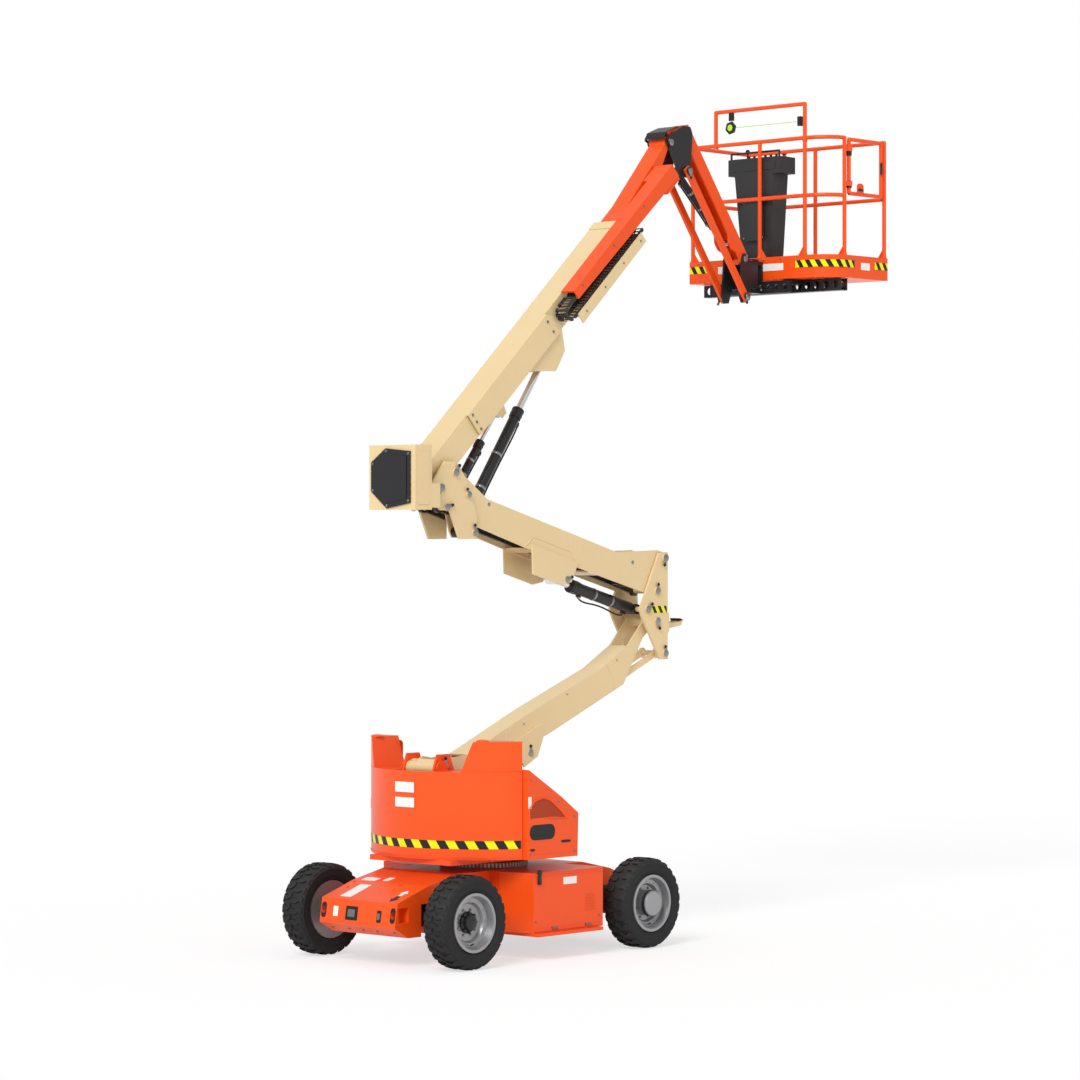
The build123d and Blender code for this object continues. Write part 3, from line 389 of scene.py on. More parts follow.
def tyre_piece(place, centre_x, hand, side):
    """The tyre that takes the plain one's place on its wheel."""
    centre = at(centre_x, hand * WHEEL_Y, TYRE_RADIUS)
    mesh = bmesh.new()
    inner_half = [(radius, -height) for radius, height in reversed(TYRE_PROFILE[:-1])]
    rings = []
    for radius, height in (*TYRE_PROFILE, *inner_half):
        rings.append(wheel_ring(mesh, centre, radius, height, TYRE_STEPS))
    for low, high in zip(rings, rings[1:] + rings[:1]):
        bridge(mesh, low, high)
    for row, offset in ((-1, 0), (1, 0.5)):
        for index in range(LUG_COUNT):
            tyre_lug(mesh, centre, tau * (index + offset) / LUG_COUNT, row, hand)
    body = f"wheel_{place}_{side}"
    piece = finish_piece(f"tyre_{place}_{side}_rubber", mesh, body, [rubber])
    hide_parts(f"tyre_{place}_{side}")


# Wheel fittings: nuts and rivets on the disc, a lock ring, a valve, and the hub's cap or drum
STUD_RING = {"steer": 0.098, "drive": 0.119}
LOCK_RING = (
    (RIM_RADIUS - 0.019, 0.099), (RIM_RADIUS - 0.002, 0.099),
    (RIM_RADIUS - 0.004, 0.106), (RIM_RADIUS - 0.016, 0.106),
)
VALVE = ((0.006, 0), (0.006, 0.03), (0.0045, 0.034))
HUB_CAP = (
    (0.082, 0.0), (0.08, 0.012), (0.062, 0.02), (0.058, 0.048), (0.05, 0.056), (0.03, 0.062), (0.004, 0.064),
)
HUB_DRUM = ((0.103, 0.0), (0.103, 0.02), (0.098, 0.036), (0.05, 0.04), (0.004, 0.042))


def spokes(count, offset=0.0):
    """Directions out from a wheel's axle, evenly spread round it."""
    for index in range(count):
        angle = tau * (index + offset) / count
        yield Vector((cos(angle), 0, sin(angle)))


def wheel_fittings(place, centre_x, hand, side):
    """What stands on one wheel's disc and hub."""
    outward = Vector((0, hand, 0))
    centre = at(centre_x, hand * WHEEL_Y, TYRE_RADIUS)
    disc = centre + outward * 0.022
    mesh = bmesh.new()
    for spoke in spokes(8, 0.5):
        bolt(mesh, disc + spoke * STUD_RING[place], outward, 0.0105)
    for spoke in spokes(12):
        rivet = centre + outward * 0.0535 + spoke * 0.166
        lathe(mesh, rivet, outward, [(0.0045, 0), (0.003, 0.003)], 8, 1)
    loops = [wheel_ring(mesh, centre, radius, hand * height, 72) for radius, height in LOCK_RING]
    for low, high in zip(loops, loops[1:] + loops[:1]):
        bridge(mesh, low, high, 1)
    lathe(mesh, centre + outward * 0.06 + Vector((0, 0, -0.168)), (0, hand, 0.4), VALVE, 10, 2)
    if place == "steer":
        lathe(mesh, disc, outward, HUB_CAP, 32, 2)
        for spoke in spokes(8):
            rib = disc + spoke * 0.07 + outward * 0.012
            pad(mesh, rib, outward, spoke, 0.012, 0.03, 0.018, 0.003, 2)
    else:
        lathe(mesh, centre + outward * 0.080, outward, HUB_DRUM, 40, 2)
        for spoke in spokes(10):
            bolt(mesh, centre + outward * 0.115 + spoke * 0.078, outward, 0.0055, 2)
    body = f"wheel_{place}_{side}"
    finish_piece(f"{body}_fittings", mesh, body, [zinc, silver, black])


for place, centre_x in (("steer", -WHEEL_X), ("drive", WHEEL_X)):
    for hand, side in SIDES:
        tyre_piece(place, centre_x, hand, side)
        wheel_fittings(place, centre_x, hand, side)

# Chassis: sockets, slots and bolts on the nose, the slots drawn as black rings of painted shade; blank
# plates and an arrow on the sloped deck
NOSE_NORMAL = Vector((-0.987, 0, 0.16))
DECK_NORMAL = Vector((-0.313, 0, 0.95))
STEP_NORMAL = Vector((-0.209, 0, 0.978))
DECK_BREAK = -1.0
PLATE_FILM = 0.0016


def on_nose(y, z):
    """A point on the nose plate, which leans back as it rises."""
    return at(-1.386 + (z - 0.307) * 0.162, y, z)


def on_deck(x, y):
    """A point on the sloped deck, which is flatter behind its break."""
    if x < DECK_BREAK:
        return at(x, y, 0.492 + (x + 1.356) * 0.3293)
    return at(x, y, 0.600 + (x + 1.028) * 0.2134)


mesh = bmesh.new()
for y, z, width, height, corner in (
    (0.068, 0.392, 0.125, 0.105, 0.008),
    (-0.222, 0.385, 0.045, 0.09, 0.006),
):
    spot = on_nose(y, z)
    pad(mesh, spot, NOSE_NORMAL, UP, width, height, FILM, corner)
    pad(mesh, spot + NOSE_NORMAL * FILM, NOSE_NORMAL, UP, width * 0.6, height * 0.55, 0.004, corner, 1)
# The slots are flat black rings round their bores: painted shade for the dark of each slot's opening.
for y in (-0.365, 0.365):
    spot = on_nose(y, 0.40)
    slot_edge = rounded(spot, NOSE_NORMAL, UP, 0.052, 0.118, 0.0255)
    bore_edge = rounded(spot, NOSE_NORMAL, UP, 0.047, 0.048, 0.0235)
    rims = [
        [mesh.verts.new(point + NOSE_NORMAL * 0.0015) for point in edge]
        for edge in (slot_edge, bore_edge)
    ]
    bridge(mesh, *rims)
for y in (-0.33, -0.15, 0.0, 0.15, 0.33):
    bolt(mesh, at(-1.315, y, 0.266), (-0.49, 0, -0.87), 0.008, 1)
for x, y in ((-1.062, 0.355), (-1.157, 0.328), (-1.054, -0.126), (-1.144, -0.152)):
    bolt(mesh, on_deck(x, y), DECK_NORMAL, 0.009, 2)
finish_piece("nose_fittings", mesh, "chassis", [hazard_black, zinc, orange])

mesh = bmesh.new()
for x, y, width, height, normal in (
    (-1.205, 0.193, 0.115, 0.235, DECK_NORMAL),
    (-0.985, 0.252, 0.15, 0.075, STEP_NORMAL),
    (-0.957, 0.088, 0.06, 0.085, STEP_NORMAL),
):
    pad(mesh, on_deck(x, y), normal, (1, 0, 0.3), width, height, PLATE_FILM, 0.006)
pad(mesh, at(-1.372, 0.238, 0.397), NOSE_NORMAL, UP, 0.05, 0.075, PLATE_FILM, 0.004)
for hand, _ in SIDES:
    pad(mesh, at(0.112, hand * BOX_FACE, 0.592), (0, hand, 0), UP, 0.15, 0.055, PLATE_FILM, 0.004)
finish_piece("chassis_plates", mesh, "chassis", [white], bevel=0.0005)

# Direction arrow: half white, half black, on the sloped deck
mesh = bmesh.new()
right, upward, _ = frame_of(DECK_NORMAL, (1, 0, 0.33))
arrow_spot = on_deck(-1.235, -0.298) + DECK_NORMAL * 0.0008
for sign, material in ((1, 0), (-1, 1)):
    neck = sign * 0.05
    outline = [
        (-0.018, 0), (-0.018, neck), (-0.04, neck), (0, sign * 0.105),
        (0.04, neck), (0.018, neck), (0.018, 0),
    ]
    points = [arrow_spot + right * u + upward * v for u, v in outline]
    prism(mesh, points, DECK_NORMAL * 0.0012, material)
finish_piece("travel_arrow", mesh, "chassis", [white, hazard_black], smooth=False)

# Battery boxes: the lid's seam, a sill with its hinges, a rubber latch, louvres and two bolts
for hand, side in SIDES:
    mesh = bmesh.new()
    face = hand * BOX_FACE
    outward = (0, hand, 0)
    pad(mesh, at(-0.24, face, 0.63), outward, UP, 0.03, 0.1, 0.014, 0.008, 1)
    lathe(mesh, at(-0.24, face, 0.672), outward, [(0.02, 0), (0.02, 0.018), (0.014, 0.022)], 20, 1)
    lathe(mesh, at(-0.24, face, 0.598), outward, [(0.013, 0), (0.013, 0.02), (0.009, 0.024)], 16, 1)
    pad(mesh, at(0.09, face, 0.652), outward, UP, 0.76, 0.01, 0.006, 0.003)
    pad(mesh, at(0.09, face, 0.236), outward, UP, 0.76, 0.02, 0.005, 0.003)
    for x in (-0.1, 0.28):
        lathe(mesh, at(x, face + hand * 0.004, 0.24), (1, 0, 0), [(0.009, 0), (0.009, 0.07)], 14, 2)
    for index in range(6):
        pad(mesh, at(0.34, face, 0.36 + 0.022 * index), (0, hand, 0.5), UP, 0.11, 0.008, 0.005, 0.003)
    for x in (-0.27, 0.45):
        bolt(mesh, at(x, face, 0.3), outward, 0.007, 2)
    finish_piece(f"battery_box_{side}_fittings", mesh, "chassis", [orange, moulded, zinc])

# Steering: a tie rod with its joints, and a small cylinder on each side
TIE_ROD_HALF = 0.4
STEER_CYLINDER = [(0.026, 0), (0.026, 0.15), (0.02, 0.16), (0.012, 0.165), (0.012, 0.24)]
mesh = bmesh.new()
lathe(mesh, at(-0.91, -TIE_ROD_HALF, 0.33), (0, 1, 0), [(0.016, 0), (0.016, 2 * TIE_ROD_HALF)], 16)
for hand, _ in SIDES:
    lathe(mesh, at(-0.91, hand * 0.41, 0.33), UP, [(0.028, -0.022), (0.03, 0), (0.028, 0.022)], 18, 1)
    lathe(mesh, at(-1.0, hand * 0.2, 0.424), (0, hand, 0), STEER_CYLINDER, 18)
finish_piece("steering_rod", mesh, "chassis", [black, zinc])

# Slew ring: its teeth and its rim between chassis and turntable
SLEW_TEETH = 72
mesh = bmesh.new()
for index in range(SLEW_TEETH):
    angle = tau * index / SLEW_TEETH
    spoke = Vector((cos(angle), sin(angle), 0))
    pad(mesh, at(0, 0, 0.69) + spoke * 0.33, spoke, UP, 0.016, 0.03, 0.012, 0.003)
lathe(mesh, at(0, 0, 0.712), UP, [(0.345, 0), (0.35, 0.004), (0.35, 0.02), (0.345, 0.024)], 96, 1)
finish_piece("slew_ring_teeth", mesh, "chassis", [zinc, black])

# Hood: the solid's own surfaces, with its shoulders' inner ends cut to a slope and its edges rolled
HOOD_CREASE = 1.445
SHOULDER_FOOT = 0.462
SHOULDER_LEAN = 0.075
HOOD_TOP = 1.67
HOOD_RADIUS = 0.8752
HOOD_START = 118
HOOD_SWEEP = 124
hood_node = frame["nodes"]["counterweight_hood"]


def hood_part(cuts):
    """The hood's solid with everything on the far side of each cut taken away and the cuts closed."""
    part = bmesh.new()
    part.from_mesh(hood_node.data)
    part.transform(hood_node.matrix_world)
    bmesh.ops.remove_doubles(part, verts=part.verts[:], dist=1e-5)
    for point, normal in cuts:
        bmesh.ops.bisect_plane(
            part, geom=part.verts[:] + part.edges[:] + part.faces[:],
            plane_co=point, plane_no=normal, clear_outer=True,
        )
        rim = [edge for edge in part.edges if edge.is_boundary]
        bmesh.ops.holes_fill(part, edges=rim)
    bmesh.ops.dissolve_limit(
        part, angle_limit=radians(1), verts=part.verts[:], edges=part.edges[:],
    )
    return part


def hood_angles(steps):
    """Angles round the hood's drum, from its far shoulder to its near one."""
    return [radians(HOOD_START + HOOD_SWEEP * step / steps) for step in range(steps + 1)]


hood_cuts = [[(at(0, 0, HOOD_CREASE), Vector(UP))]]
for hand, _ in SIDES:
    slope = Vector((0, -hand * (HOOD_TOP - HOOD_CREASE), SHOULDER_LEAN)).normalized()
    hood_cuts.append([
        (at(0, 0, HOOD_CREASE), -Vector(UP)),
        (at(0, hand * SHOULDER_FOOT, HOOD_CREASE), slope),
    ])
mesh = bmesh.new()
for cuts in hood_cuts:
    join(mesh, hood_part(cuts))
hood = finish_piece("hood_shell", mesh, "turntable", [orange], bevel=0.014)
hood.modifiers["edges"].segments = 4
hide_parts("counterweight_hood")

# Hood: hazard band, blank plates, a lip at its foot, a line at its crease, lugs and dark panels of painted
# shade
drum = [at(0.8765 * cos(angle), 0.8765 * sin(angle), 0.862) for angle in hood_angles(60)]
hazard_band("hood_hazard_band", drum, 0.062, "turntable", pitch=0.15)
mesh = bmesh.new()
for y, z, height in ((-0.002, 1.317, 0.078), (-0.002, 1.202, 0.074)):
    pad(mesh, at(-0.8755, y, z), (-1, 0, 0), UP, 0.2, height, 0.0035, 0.006)
pad(mesh, at(-0.385, -0.8405, 1.21), (0, -1, 0), UP, 0.035, 0.09, 0.002, 0.004)
finish_piece("hood_plates", mesh, "turntable", [white], bevel=0.0005)
mesh = bmesh.new()
for low, high, reach_low, reach_high in (
    (0.779, 0.79, -0.012, 0.003), (0.79, 0.8, 0.003, 0.0045), (1.436, 1.444, 0.001, 0.001),
):
    previous = None
    for angle in hood_angles(72):
        if low > 1.0 and abs(sin(angle)) * HOOD_RADIUS < SHOULDER_FOOT:
            previous = None
            continue
        spoke = Vector((cos(angle), sin(angle), 0))
        pair = (
            mesh.verts.new(at(0, 0, low) + spoke * (HOOD_RADIUS + reach_low)),
            mesh.verts.new(at(0, 0, high) + spoke * (HOOD_RADIUS + reach_high)),
        )
        if previous:
            mesh.faces.new((previous[0], pair[0], pair[1], previous[1]))
        previous = pair
for hand, _ in SIDES:
    lug_spot = at(-0.61, hand * 0.56, HOOD_TOP)
    lathe(mesh, lug_spot, UP, [(0.05, 0), (0.048, 0.008), (0.03, 0.014), (0.018, 0.006)], 32)
    # A flat panel in the darker orange on each shoulder's end: painted shade.
    pad(mesh, at(-0.4, hand * 0.59, 1.54), (1, 0, 0), UP, 0.2, 0.19, 0.004, 0.03, 1)
finish_piece("hood_trim", mesh, "turntable", [orange, painted_recess_shade])

# Tower's foot: the tube across it, with a collar at each end
FOOT_TUBE = [
    (0.05, 0), (0.052, 0.02), (0.052, 0.1), (0.046, 0.104),
    (0.046, 0.26), (0.052, 0.264), (0.052, 0.35), (0.05, 0.372),
]
mesh = bmesh.new()
lathe(mesh, at(-0.66, -0.186, 1.452), (0, 1, 0), FOOT_TUBE, 28)
for y in (-0.19, 0.178):
    lathe(mesh, at(-0.66, y, 1.452), (0, 1, 0), [(0.06, 0), (0.06, 0.012)], 24, 1)
finish_piece("tower_foot_tube", mesh, "turntable", [cream, orange])

# Side covers: the arched recess as a flat sheet of painted shade, and its lip, a dark blank badge, two slots
# as black pads of painted shade, a sill and bolts
COVER_FACE = 0.8402
COVER_ARCH = [
    (-0.392, 1.09), (-0.392, 1.165), (-0.33, 1.222), (-0.24, 1.243),
    (-0.15, 1.213), (-0.06, 1.148), (0.02, 1.078), (-0.18, 1.092),
]
for hand, side in SIDES:
    mesh = bmesh.new()
    face = hand * COVER_FACE
    normal = Vector((0, hand, 0))
    # The arch is a thin sheet in the darker orange: painted shade for the recess inside the arch.
    prism(mesh, [at(x, face, z) for x, z in COVER_ARCH], normal * 0.0012, 1)
    lip = [at(x, face + hand * 0.004, z) for x, z in COVER_ARCH]
    for start, end in zip(lip, lip[1:]):
        lathe(mesh, start, end - start, [(0.005, -0.002), (0.005, (end - start).length + 0.002)], 10)
    pad(mesh, at(-0.245, face, 0.982), normal, UP, 0.28, 0.115, 0.002, 0.05, 2)
    # The two slots are flat black pads: painted shade for the dark of their openings.
    pad(mesh, at(0.02, face, 0.9), normal, UP, 0.105, 0.02, 0.002, 0.009, 2)
    pad(mesh, at(-0.355, face, 0.852), normal, UP, 0.05, 0.018, 0.002, 0.008, 2)
    pad(mesh, at(-0.12, face, 0.795), normal, UP, 0.54, 0.03, 0.004, 0.004)
    for x, z in ((-0.37, 1.38), (-0.06, 1.2), (0.12, 1.08), (0.12, 0.82), (-0.37, 0.82)):
        bolt(mesh, at(x, face, z), normal, 0.0065, 3)
    if side == "far":
        for index in range(7):
            louvre = at(-0.24, face, 1.12 - 0.02 * index)
            pad(mesh, louvre, (0, hand, 0.4), UP, 0.2, 0.008, 0.006, 0.003)
    materials = [orange, painted_recess_shade, hazard_black, zinc]
    finish_piece(f"side_cover_{side}_trim", mesh, "turntable", materials)


# Pins: a domed head, its keeper plate and bolt, for every pivot that shows
def pin_keepers(name, body, pins):
    """Each pin is (x, z, |y| of its head's face, angle of its keeper in degrees, size)."""
    mesh = bmesh.new()
    for x, z, reach, turn, size in pins:
        for hand, _ in SIDES:
            outward = Vector((0, hand, 0))
            centre = at(x, hand * reach, z)
            dome = [(size, -0.004), (size, 0.004), (size * 0.8, 0.007), (size * 0.3, 0.0075)]
            lathe(mesh, centre, outward, dome, 24)
            tilt = radians(turn)
            along = Vector((cos(tilt), 0, sin(tilt)))
            middle = centre + along * size * 1.1
            pad(mesh, middle, outward, along, size * 0.9, size * 2.6, 0.0045, size * 0.4)
            bolt(mesh, centre + along * size * 2.0 + outward * 0.0035, outward, size * 0.36, 1)
    finish_piece(name, mesh, body, [zinc, black], bevel=0.0008)


pin_keepers("turntable_pins", "turntable", [
    (-0.62, 1.47, 0.182, 90, 0.03), (-0.521, 1.205, 0.182, 200, 0.026), (-0.70, 0.83, 0.182, 60, 0.028),
])
pin_keepers("upright_pins", "mid_upright", [
    (1.964, 3.045, 0.184, 250, 0.03), (1.865, 2.776, 0.184, 90, 0.028), (1.747, 2.63, 0.184, 45, 0.03),
    (1.865, 2.534, 0.184, 285, 0.03), (1.964, 2.269, 0.184, 100, 0.028),
])
pin_keepers("head_pins", "boom_head", [
    (-0.497, 3.708, 0.184, 60, 0.03), (-0.657, 3.588, 0.184, 230, 0.031), (-0.596, 3.439, 0.184, 20, 0.028),
    (-0.285, 3.25, 0.184, 100, 0.028), (-0.354, 3.54, 0.184, 120, 0.024),
])
pin_keepers("lower_beam_pins", "lower_beam", [(0.417, 1.523, 0.1145, 95, 0.027)])
pin_keepers("upper_beam_pins", "upper_beam", [(0.795, 2.879, 0.1605, 20, 0.027)])
pin_keepers("knuckle_pins", "jib_knuckle", [
    (2.112, 6.443, 0.116, 150, 0.028), (2.311, 6.22, 0.152, 270, 0.027),
])
pin_keepers("bracket_pins", "platform_bracket", [
    (3.0818, 5.5462, 0.104, 60, 0.026), (3.0558, 5.2262, 0.152, 250, 0.027),
])


def leaning(origin, degrees):
    """Turns distances along and square to a leaning beam into points of the frame."""
    angle = radians(degrees)

    def place(s, y, n):
        x = origin[0] + s * cos(angle) - n * sin(angle)
        z = origin[1] + s * sin(angle) + n * cos(angle)
        return at(x, y, z)

    return place


on_boom = leaning((-0.657, 3.588), 42.37)
on_jib = leaning((2.337, 6.54), -53.15)
on_lower = leaning((-0.62, 1.47), 23.177)
on_upper = leaning((1.964, 3.045), -15.078)
boom_up = on_boom(0, 0, 1) - on_boom(0, 0, 0)
boom_along = on_boom(1, 0, 0) - on_boom(0, 0, 0)
jib_up = on_jib(0, 0, 1) - on_jib(0, 0, 0)
jib_along = on_jib(1, 0, 0) - on_jib(0, 0, 0)


def round_bar(mesh, points, radius=0.0035, segments=8):
    """A weld's bead, or a thicker bar, from point to point."""
    for start, end in zip(points, points[1:]):
        lathe(mesh, start, end - start, [(radius, 0), (radius, (end - start).length)], segments)


# Tower: weld beads at the beams' joints, grease nipples on the lower beam and bosses on the upper
LOWER_SIDE = 0.1005
UPPER_SIDE = 0.1465
NIPPLE = [(0.006, 0), (0.004, 0.006), (0.0045, 0.01)]
BOSS = [(0.014, 0), (0.014, 0.003), (0.009, 0.004)]
mesh = bmesh.new()
for hand, _ in SIDES:
    y = hand * LOWER_SIDE
    round_bar(mesh, [on_lower(2.07, y, -0.105), on_lower(2.10, y, -0.2), on_lower(2.08, y, -0.318)])
    round_bar(mesh, [on_lower(0.75, y, -0.2), on_lower(0.80, y, -0.09)])
round_bar(mesh, [on_lower(2.07, -0.1, -0.103), on_lower(2.07, 0.1, -0.103)])
for s, n in ((0.45, -0.1), (1.0, -0.12), (1.55, -0.12), (2.2, -0.12)):
    lathe(mesh, on_lower(s, -LOWER_SIDE, n), (0, -1, 0), NIPPLE, 8, 1)
finish_piece("lower_beam_welds", mesh, "lower_beam", [cream, zinc])
mesh = bmesh.new()
for hand, _ in SIDES:
    y = hand * UPPER_SIDE
    seam = ((-1.62, -0.345), (-1.55, -0.24), (-1.1, -0.24), (-1.0, -0.33))
    round_bar(mesh, [on_upper(s, y, n) for s, n in seam])
    for s in (-0.35, -2.1):
        lathe(mesh, on_upper(s, y, -0.13), (0, hand, 0), BOSS, 16, 1)
finish_piece("upper_beam_welds", mesh, "upper_beam", [cream, zinc])

# Upright: a hazard band on each side, and its rest pad
for hand, side in SIDES:
    band = [at(x, hand * 0.1735, 2.60) for x in (1.79, 1.985)]
    hazard_band(f"upright_hazard_{side}", band, 0.055, "mid_upright", pitch=0.075)
mesh = bmesh.new()
pad(mesh, at(2.31, 0, 2.528), (0.3, 0, 1), (1, 0, -0.3), 0.11, 0.05, 0.014, 0.01)
finish_piece("upright_rest_pad", mesh, "mid_upright", [hose_rubber], bevel=0.002)

# Head box: a black hexagonal cover with a bolt in each corner, and a cream plate on each side
BOX_BACK = -1.0105
BOX_MIDDLE = 3.66
COVER_THICK = 0.012
COVER_OUTLINE = [(-0.2, 3.47), (0.05, 3.43), (0.215, 3.56), (0.215, 3.78), (0.06, 3.885), (-0.2, 3.86)]


def cover_points(x, share):
    """The cover's corners at a depth, drawn in towards its middle."""
    return [at(x, y * share, BOX_MIDDLE + (z - BOX_MIDDLE) * share) for y, z in COVER_OUTLINE]


mesh = bmesh.new()
prism(mesh, cover_points(BOX_BACK, 1), (-COVER_THICK, 0, 0))
prism(mesh, cover_points(BOX_BACK - COVER_THICK, 0.82), (-COVER_THICK / 2, 0, 0))
for spot in cover_points(BOX_BACK - COVER_THICK, 0.91):
    bolt(mesh, spot, (-1, 0, 0), 0.008, 1)
for hand, _ in SIDES:
    pad(mesh, at(-0.92, hand * 0.2455, BOX_MIDDLE), (0, hand, 0), UP, 0.13, 0.4, 0.003, 0.01, 2)
finish_piece("head_box_cover", mesh, "boom_head", [black, zinc, cream], bevel=0.0015)

# Main boom: bolts of its side plates, collar and tray, the collar's plates, and hose clamps
BOOM_SIDE = 0.122
COLLAR_MIDDLE = 2.955
mesh = bmesh.new()
for s, n in ((0.66, 0.02), (0.66, 0.09), (0.66, 0.16), (1.80, 0.04), (1.80, 0.14)):
    bolt(mesh, on_boom(s, -0.145, n), (0, -1, 0), 0.009)
for s in (2.90, 2.96):
    for n in (0.03, 0.09, 0.15):
        for hand, _ in SIDES:
            bolt(mesh, on_boom(s, hand * BOOM_SIDE, n), (0, hand, 0), 0.007)
for s in (2.1, 2.4, 2.7, 2.98):
    bolt(mesh, on_boom(s, -0.2722, -0.005), (0, -1, 0), 0.007)
for n, sign in ((-0.021, -1), (0.1935, 1)):
    pad(mesh, on_boom(COLLAR_MIDDLE, 0, n), boom_up * sign, boom_along, 0.245, 0.09, 0.006, 0.008, 1)
for hand, _ in SIDES:
    spot = on_boom(COLLAR_MIDDLE, hand * 0.1222, 0.0865)
    pad(mesh, spot, (0, hand, 0), boom_along, 0.2, 0.09, 0.004, 0.008, 1)
for s in (0.3, 1.2, 2.0):
    pad(mesh, on_boom(s, BOOM_SIDE, 0.155), (0, 1, 0), boom_along, 0.06, 0.03, 0.016, 0.006, 2)
finish_piece("main_boom_fittings", mesh, "main_boom", [zinc, cream, black], bevel=0.0008)
for letter, n in (("a", 0.168), ("b", 0.146)):
    hose(f"boom_hose_{letter}", [on_boom(s, 0.136, n) for s in (0.32, 1.0, 1.8, 2.86)], 0.009, "main_boom")
for index in range(3):
    drop = 0.02 * index
    hose(f"chain_hose_{index}", [
        on_boom(2.07, -0.17 - drop, 0.15),
        on_boom(2.12, -0.17 - drop, 0.17),
        on_boom(2.17, -0.16 - drop, 0.155),
        on_boom(2.19, -0.14, 0.12 - drop),
        on_boom(2.17, -0.128, 0.07),
    ], 0.008, "main_boom")
for index in range(3):
    spread = 0.022 * index
    hose(f"tray_hose_{index}", [
        on_boom(3.02, -0.16 - spread, 0.045),
        on_boom(3.07, -0.165 - spread, 0.065),
        on_boom(3.06, -0.15 - spread, 0.12),
        on_boom(2.95, -0.132, 0.13 - spread / 2),
    ], 0.008, "main_boom")

# Cable chain: links with side plates and cross bars along the hairpin, as (along, square, heading)
LINK_PITCH = 0.036
BEND_RADIUS = 0.0565
BEND_MIDDLE = (1.972, 0.0935)
CHAIN_LOW = 0.037
CHAIN_HIGH = 0.150
chain = [(3.07 - LINK_PITCH * index, CHAIN_LOW, pi) for index in range(31)]
for index in range(1, 5):
    turn = radians(36 * index)
    s = BEND_MIDDLE[0] - BEND_RADIUS * sin(turn)
    n = BEND_MIDDLE[1] - BEND_RADIUS * cos(turn)
    chain.append((s, n, pi - turn))
chain += [(1.99 + LINK_PITCH * index, CHAIN_HIGH, 0.0) for index in range(3)]
mesh = bmesh.new()
square = Vector((0, -1, 0))
for index, (s, n, heading) in enumerate(chain):
    ahead = boom_along * cos(heading) + boom_up * sin(heading)
    side_length = 0.0335 + 0.004 * (index % 2)
    for y in (-0.149, -0.251):
        pad(mesh, on_boom(s, y + 0.003, n), square, ahead, 0.031, side_length, 0.006, 0.008)
        lathe(mesh, on_boom(s, y - 0.003, n) + ahead * 0.017, square, [(0.007, 0), (0.006, 0.003)], 10)
    bar_up = square.cross(ahead)
    for sign in (-1, 1):
        bar = on_boom(s, -0.2, n) + bar_up * sign * 0.0125
        pad(mesh, bar, bar_up * sign, ahead, 0.094, 0.013, 0.003, 0.002)
links = finish_piece("cable_chain_links", mesh, "main_boom", [plastic])
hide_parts("cable_chain")

# Fly: three discs on its side rail's end, the rail's bolts and a blank plate
mesh = bmesh.new()
for s in (3.53, 3.6, 3.67):
    lathe(mesh, on_boom(s, -0.2702, 0.13), (0, -1, 0), [(0.017, 0), (0.017, 0.002), (0.012, 0.0025)], 20)
for s in (2.2, 2.7, 3.2):
    bolt(mesh, on_boom(s, -0.2775, 0.175), (0, -1, 0), 0.007, 1)
pad(mesh, on_boom(3.3, -0.0955, 0.09), (0, -1, 0), boom_along, 0.05, 0.2, 0.002, 0.006, 2)
finish_piece("fly_fittings", mesh, "fly_boom", [black, zinc, white])

# Knuckle: a bent cap over the fly's head
CAP_HALF = 0.104
CAP_THICK = 0.008
cap = [(2.03, 6.47), (2.06, 6.52), (2.12, 6.545), (2.20, 6.575)]
mesh = bmesh.new()
for (x0, z0), (x1, z1) in zip(cap, cap[1:]):
    corners = ((x0, z0), (x1, z1), (x1, z1 + CAP_THICK), (x0, z0 + CAP_THICK))
    prism(mesh, [at(x, -CAP_HALF, z) for x, z in corners], (0, 2 * CAP_HALF, 0))
finish_piece("knuckle_cap", mesh, "jib_knuckle", [black], bevel=0.001)

# Jib: clamps and hoses along its far cheek, bolts, and a plate along its top
mesh = bmesh.new()
for s in (0.25, 0.55, 0.84):
    pad(mesh, on_jib(s, 0.08, 0.02), (0, 1, 0), jib_along, 0.05, 0.028, 0.016, 0.006)
for s in (0.8, 0.88):
    bolt(mesh, on_jib(s, 0.0805, 0.11), (0, 1, 0), 0.008, 1)
    bolt(mesh, on_jib(s, 0.0655, 0.11), (0, -1, 0), 0.008, 1)
pad(mesh, on_jib(0.6, 0, 0.066), jib_up, jib_along, 0.1, 0.9, 0.0025, 0.02, 2)
finish_piece("jib_fittings", mesh, "jib_beam", [black, zinc, orange], bevel=0.0008)
for letter, n in (("a", 0.028), ("b", 0.010)):
    hose(f"jib_hose_{letter}", [on_jib(s, 0.094, n) for s in (0.1, 0.5, 0.88)], 0.007, "jib_beam")


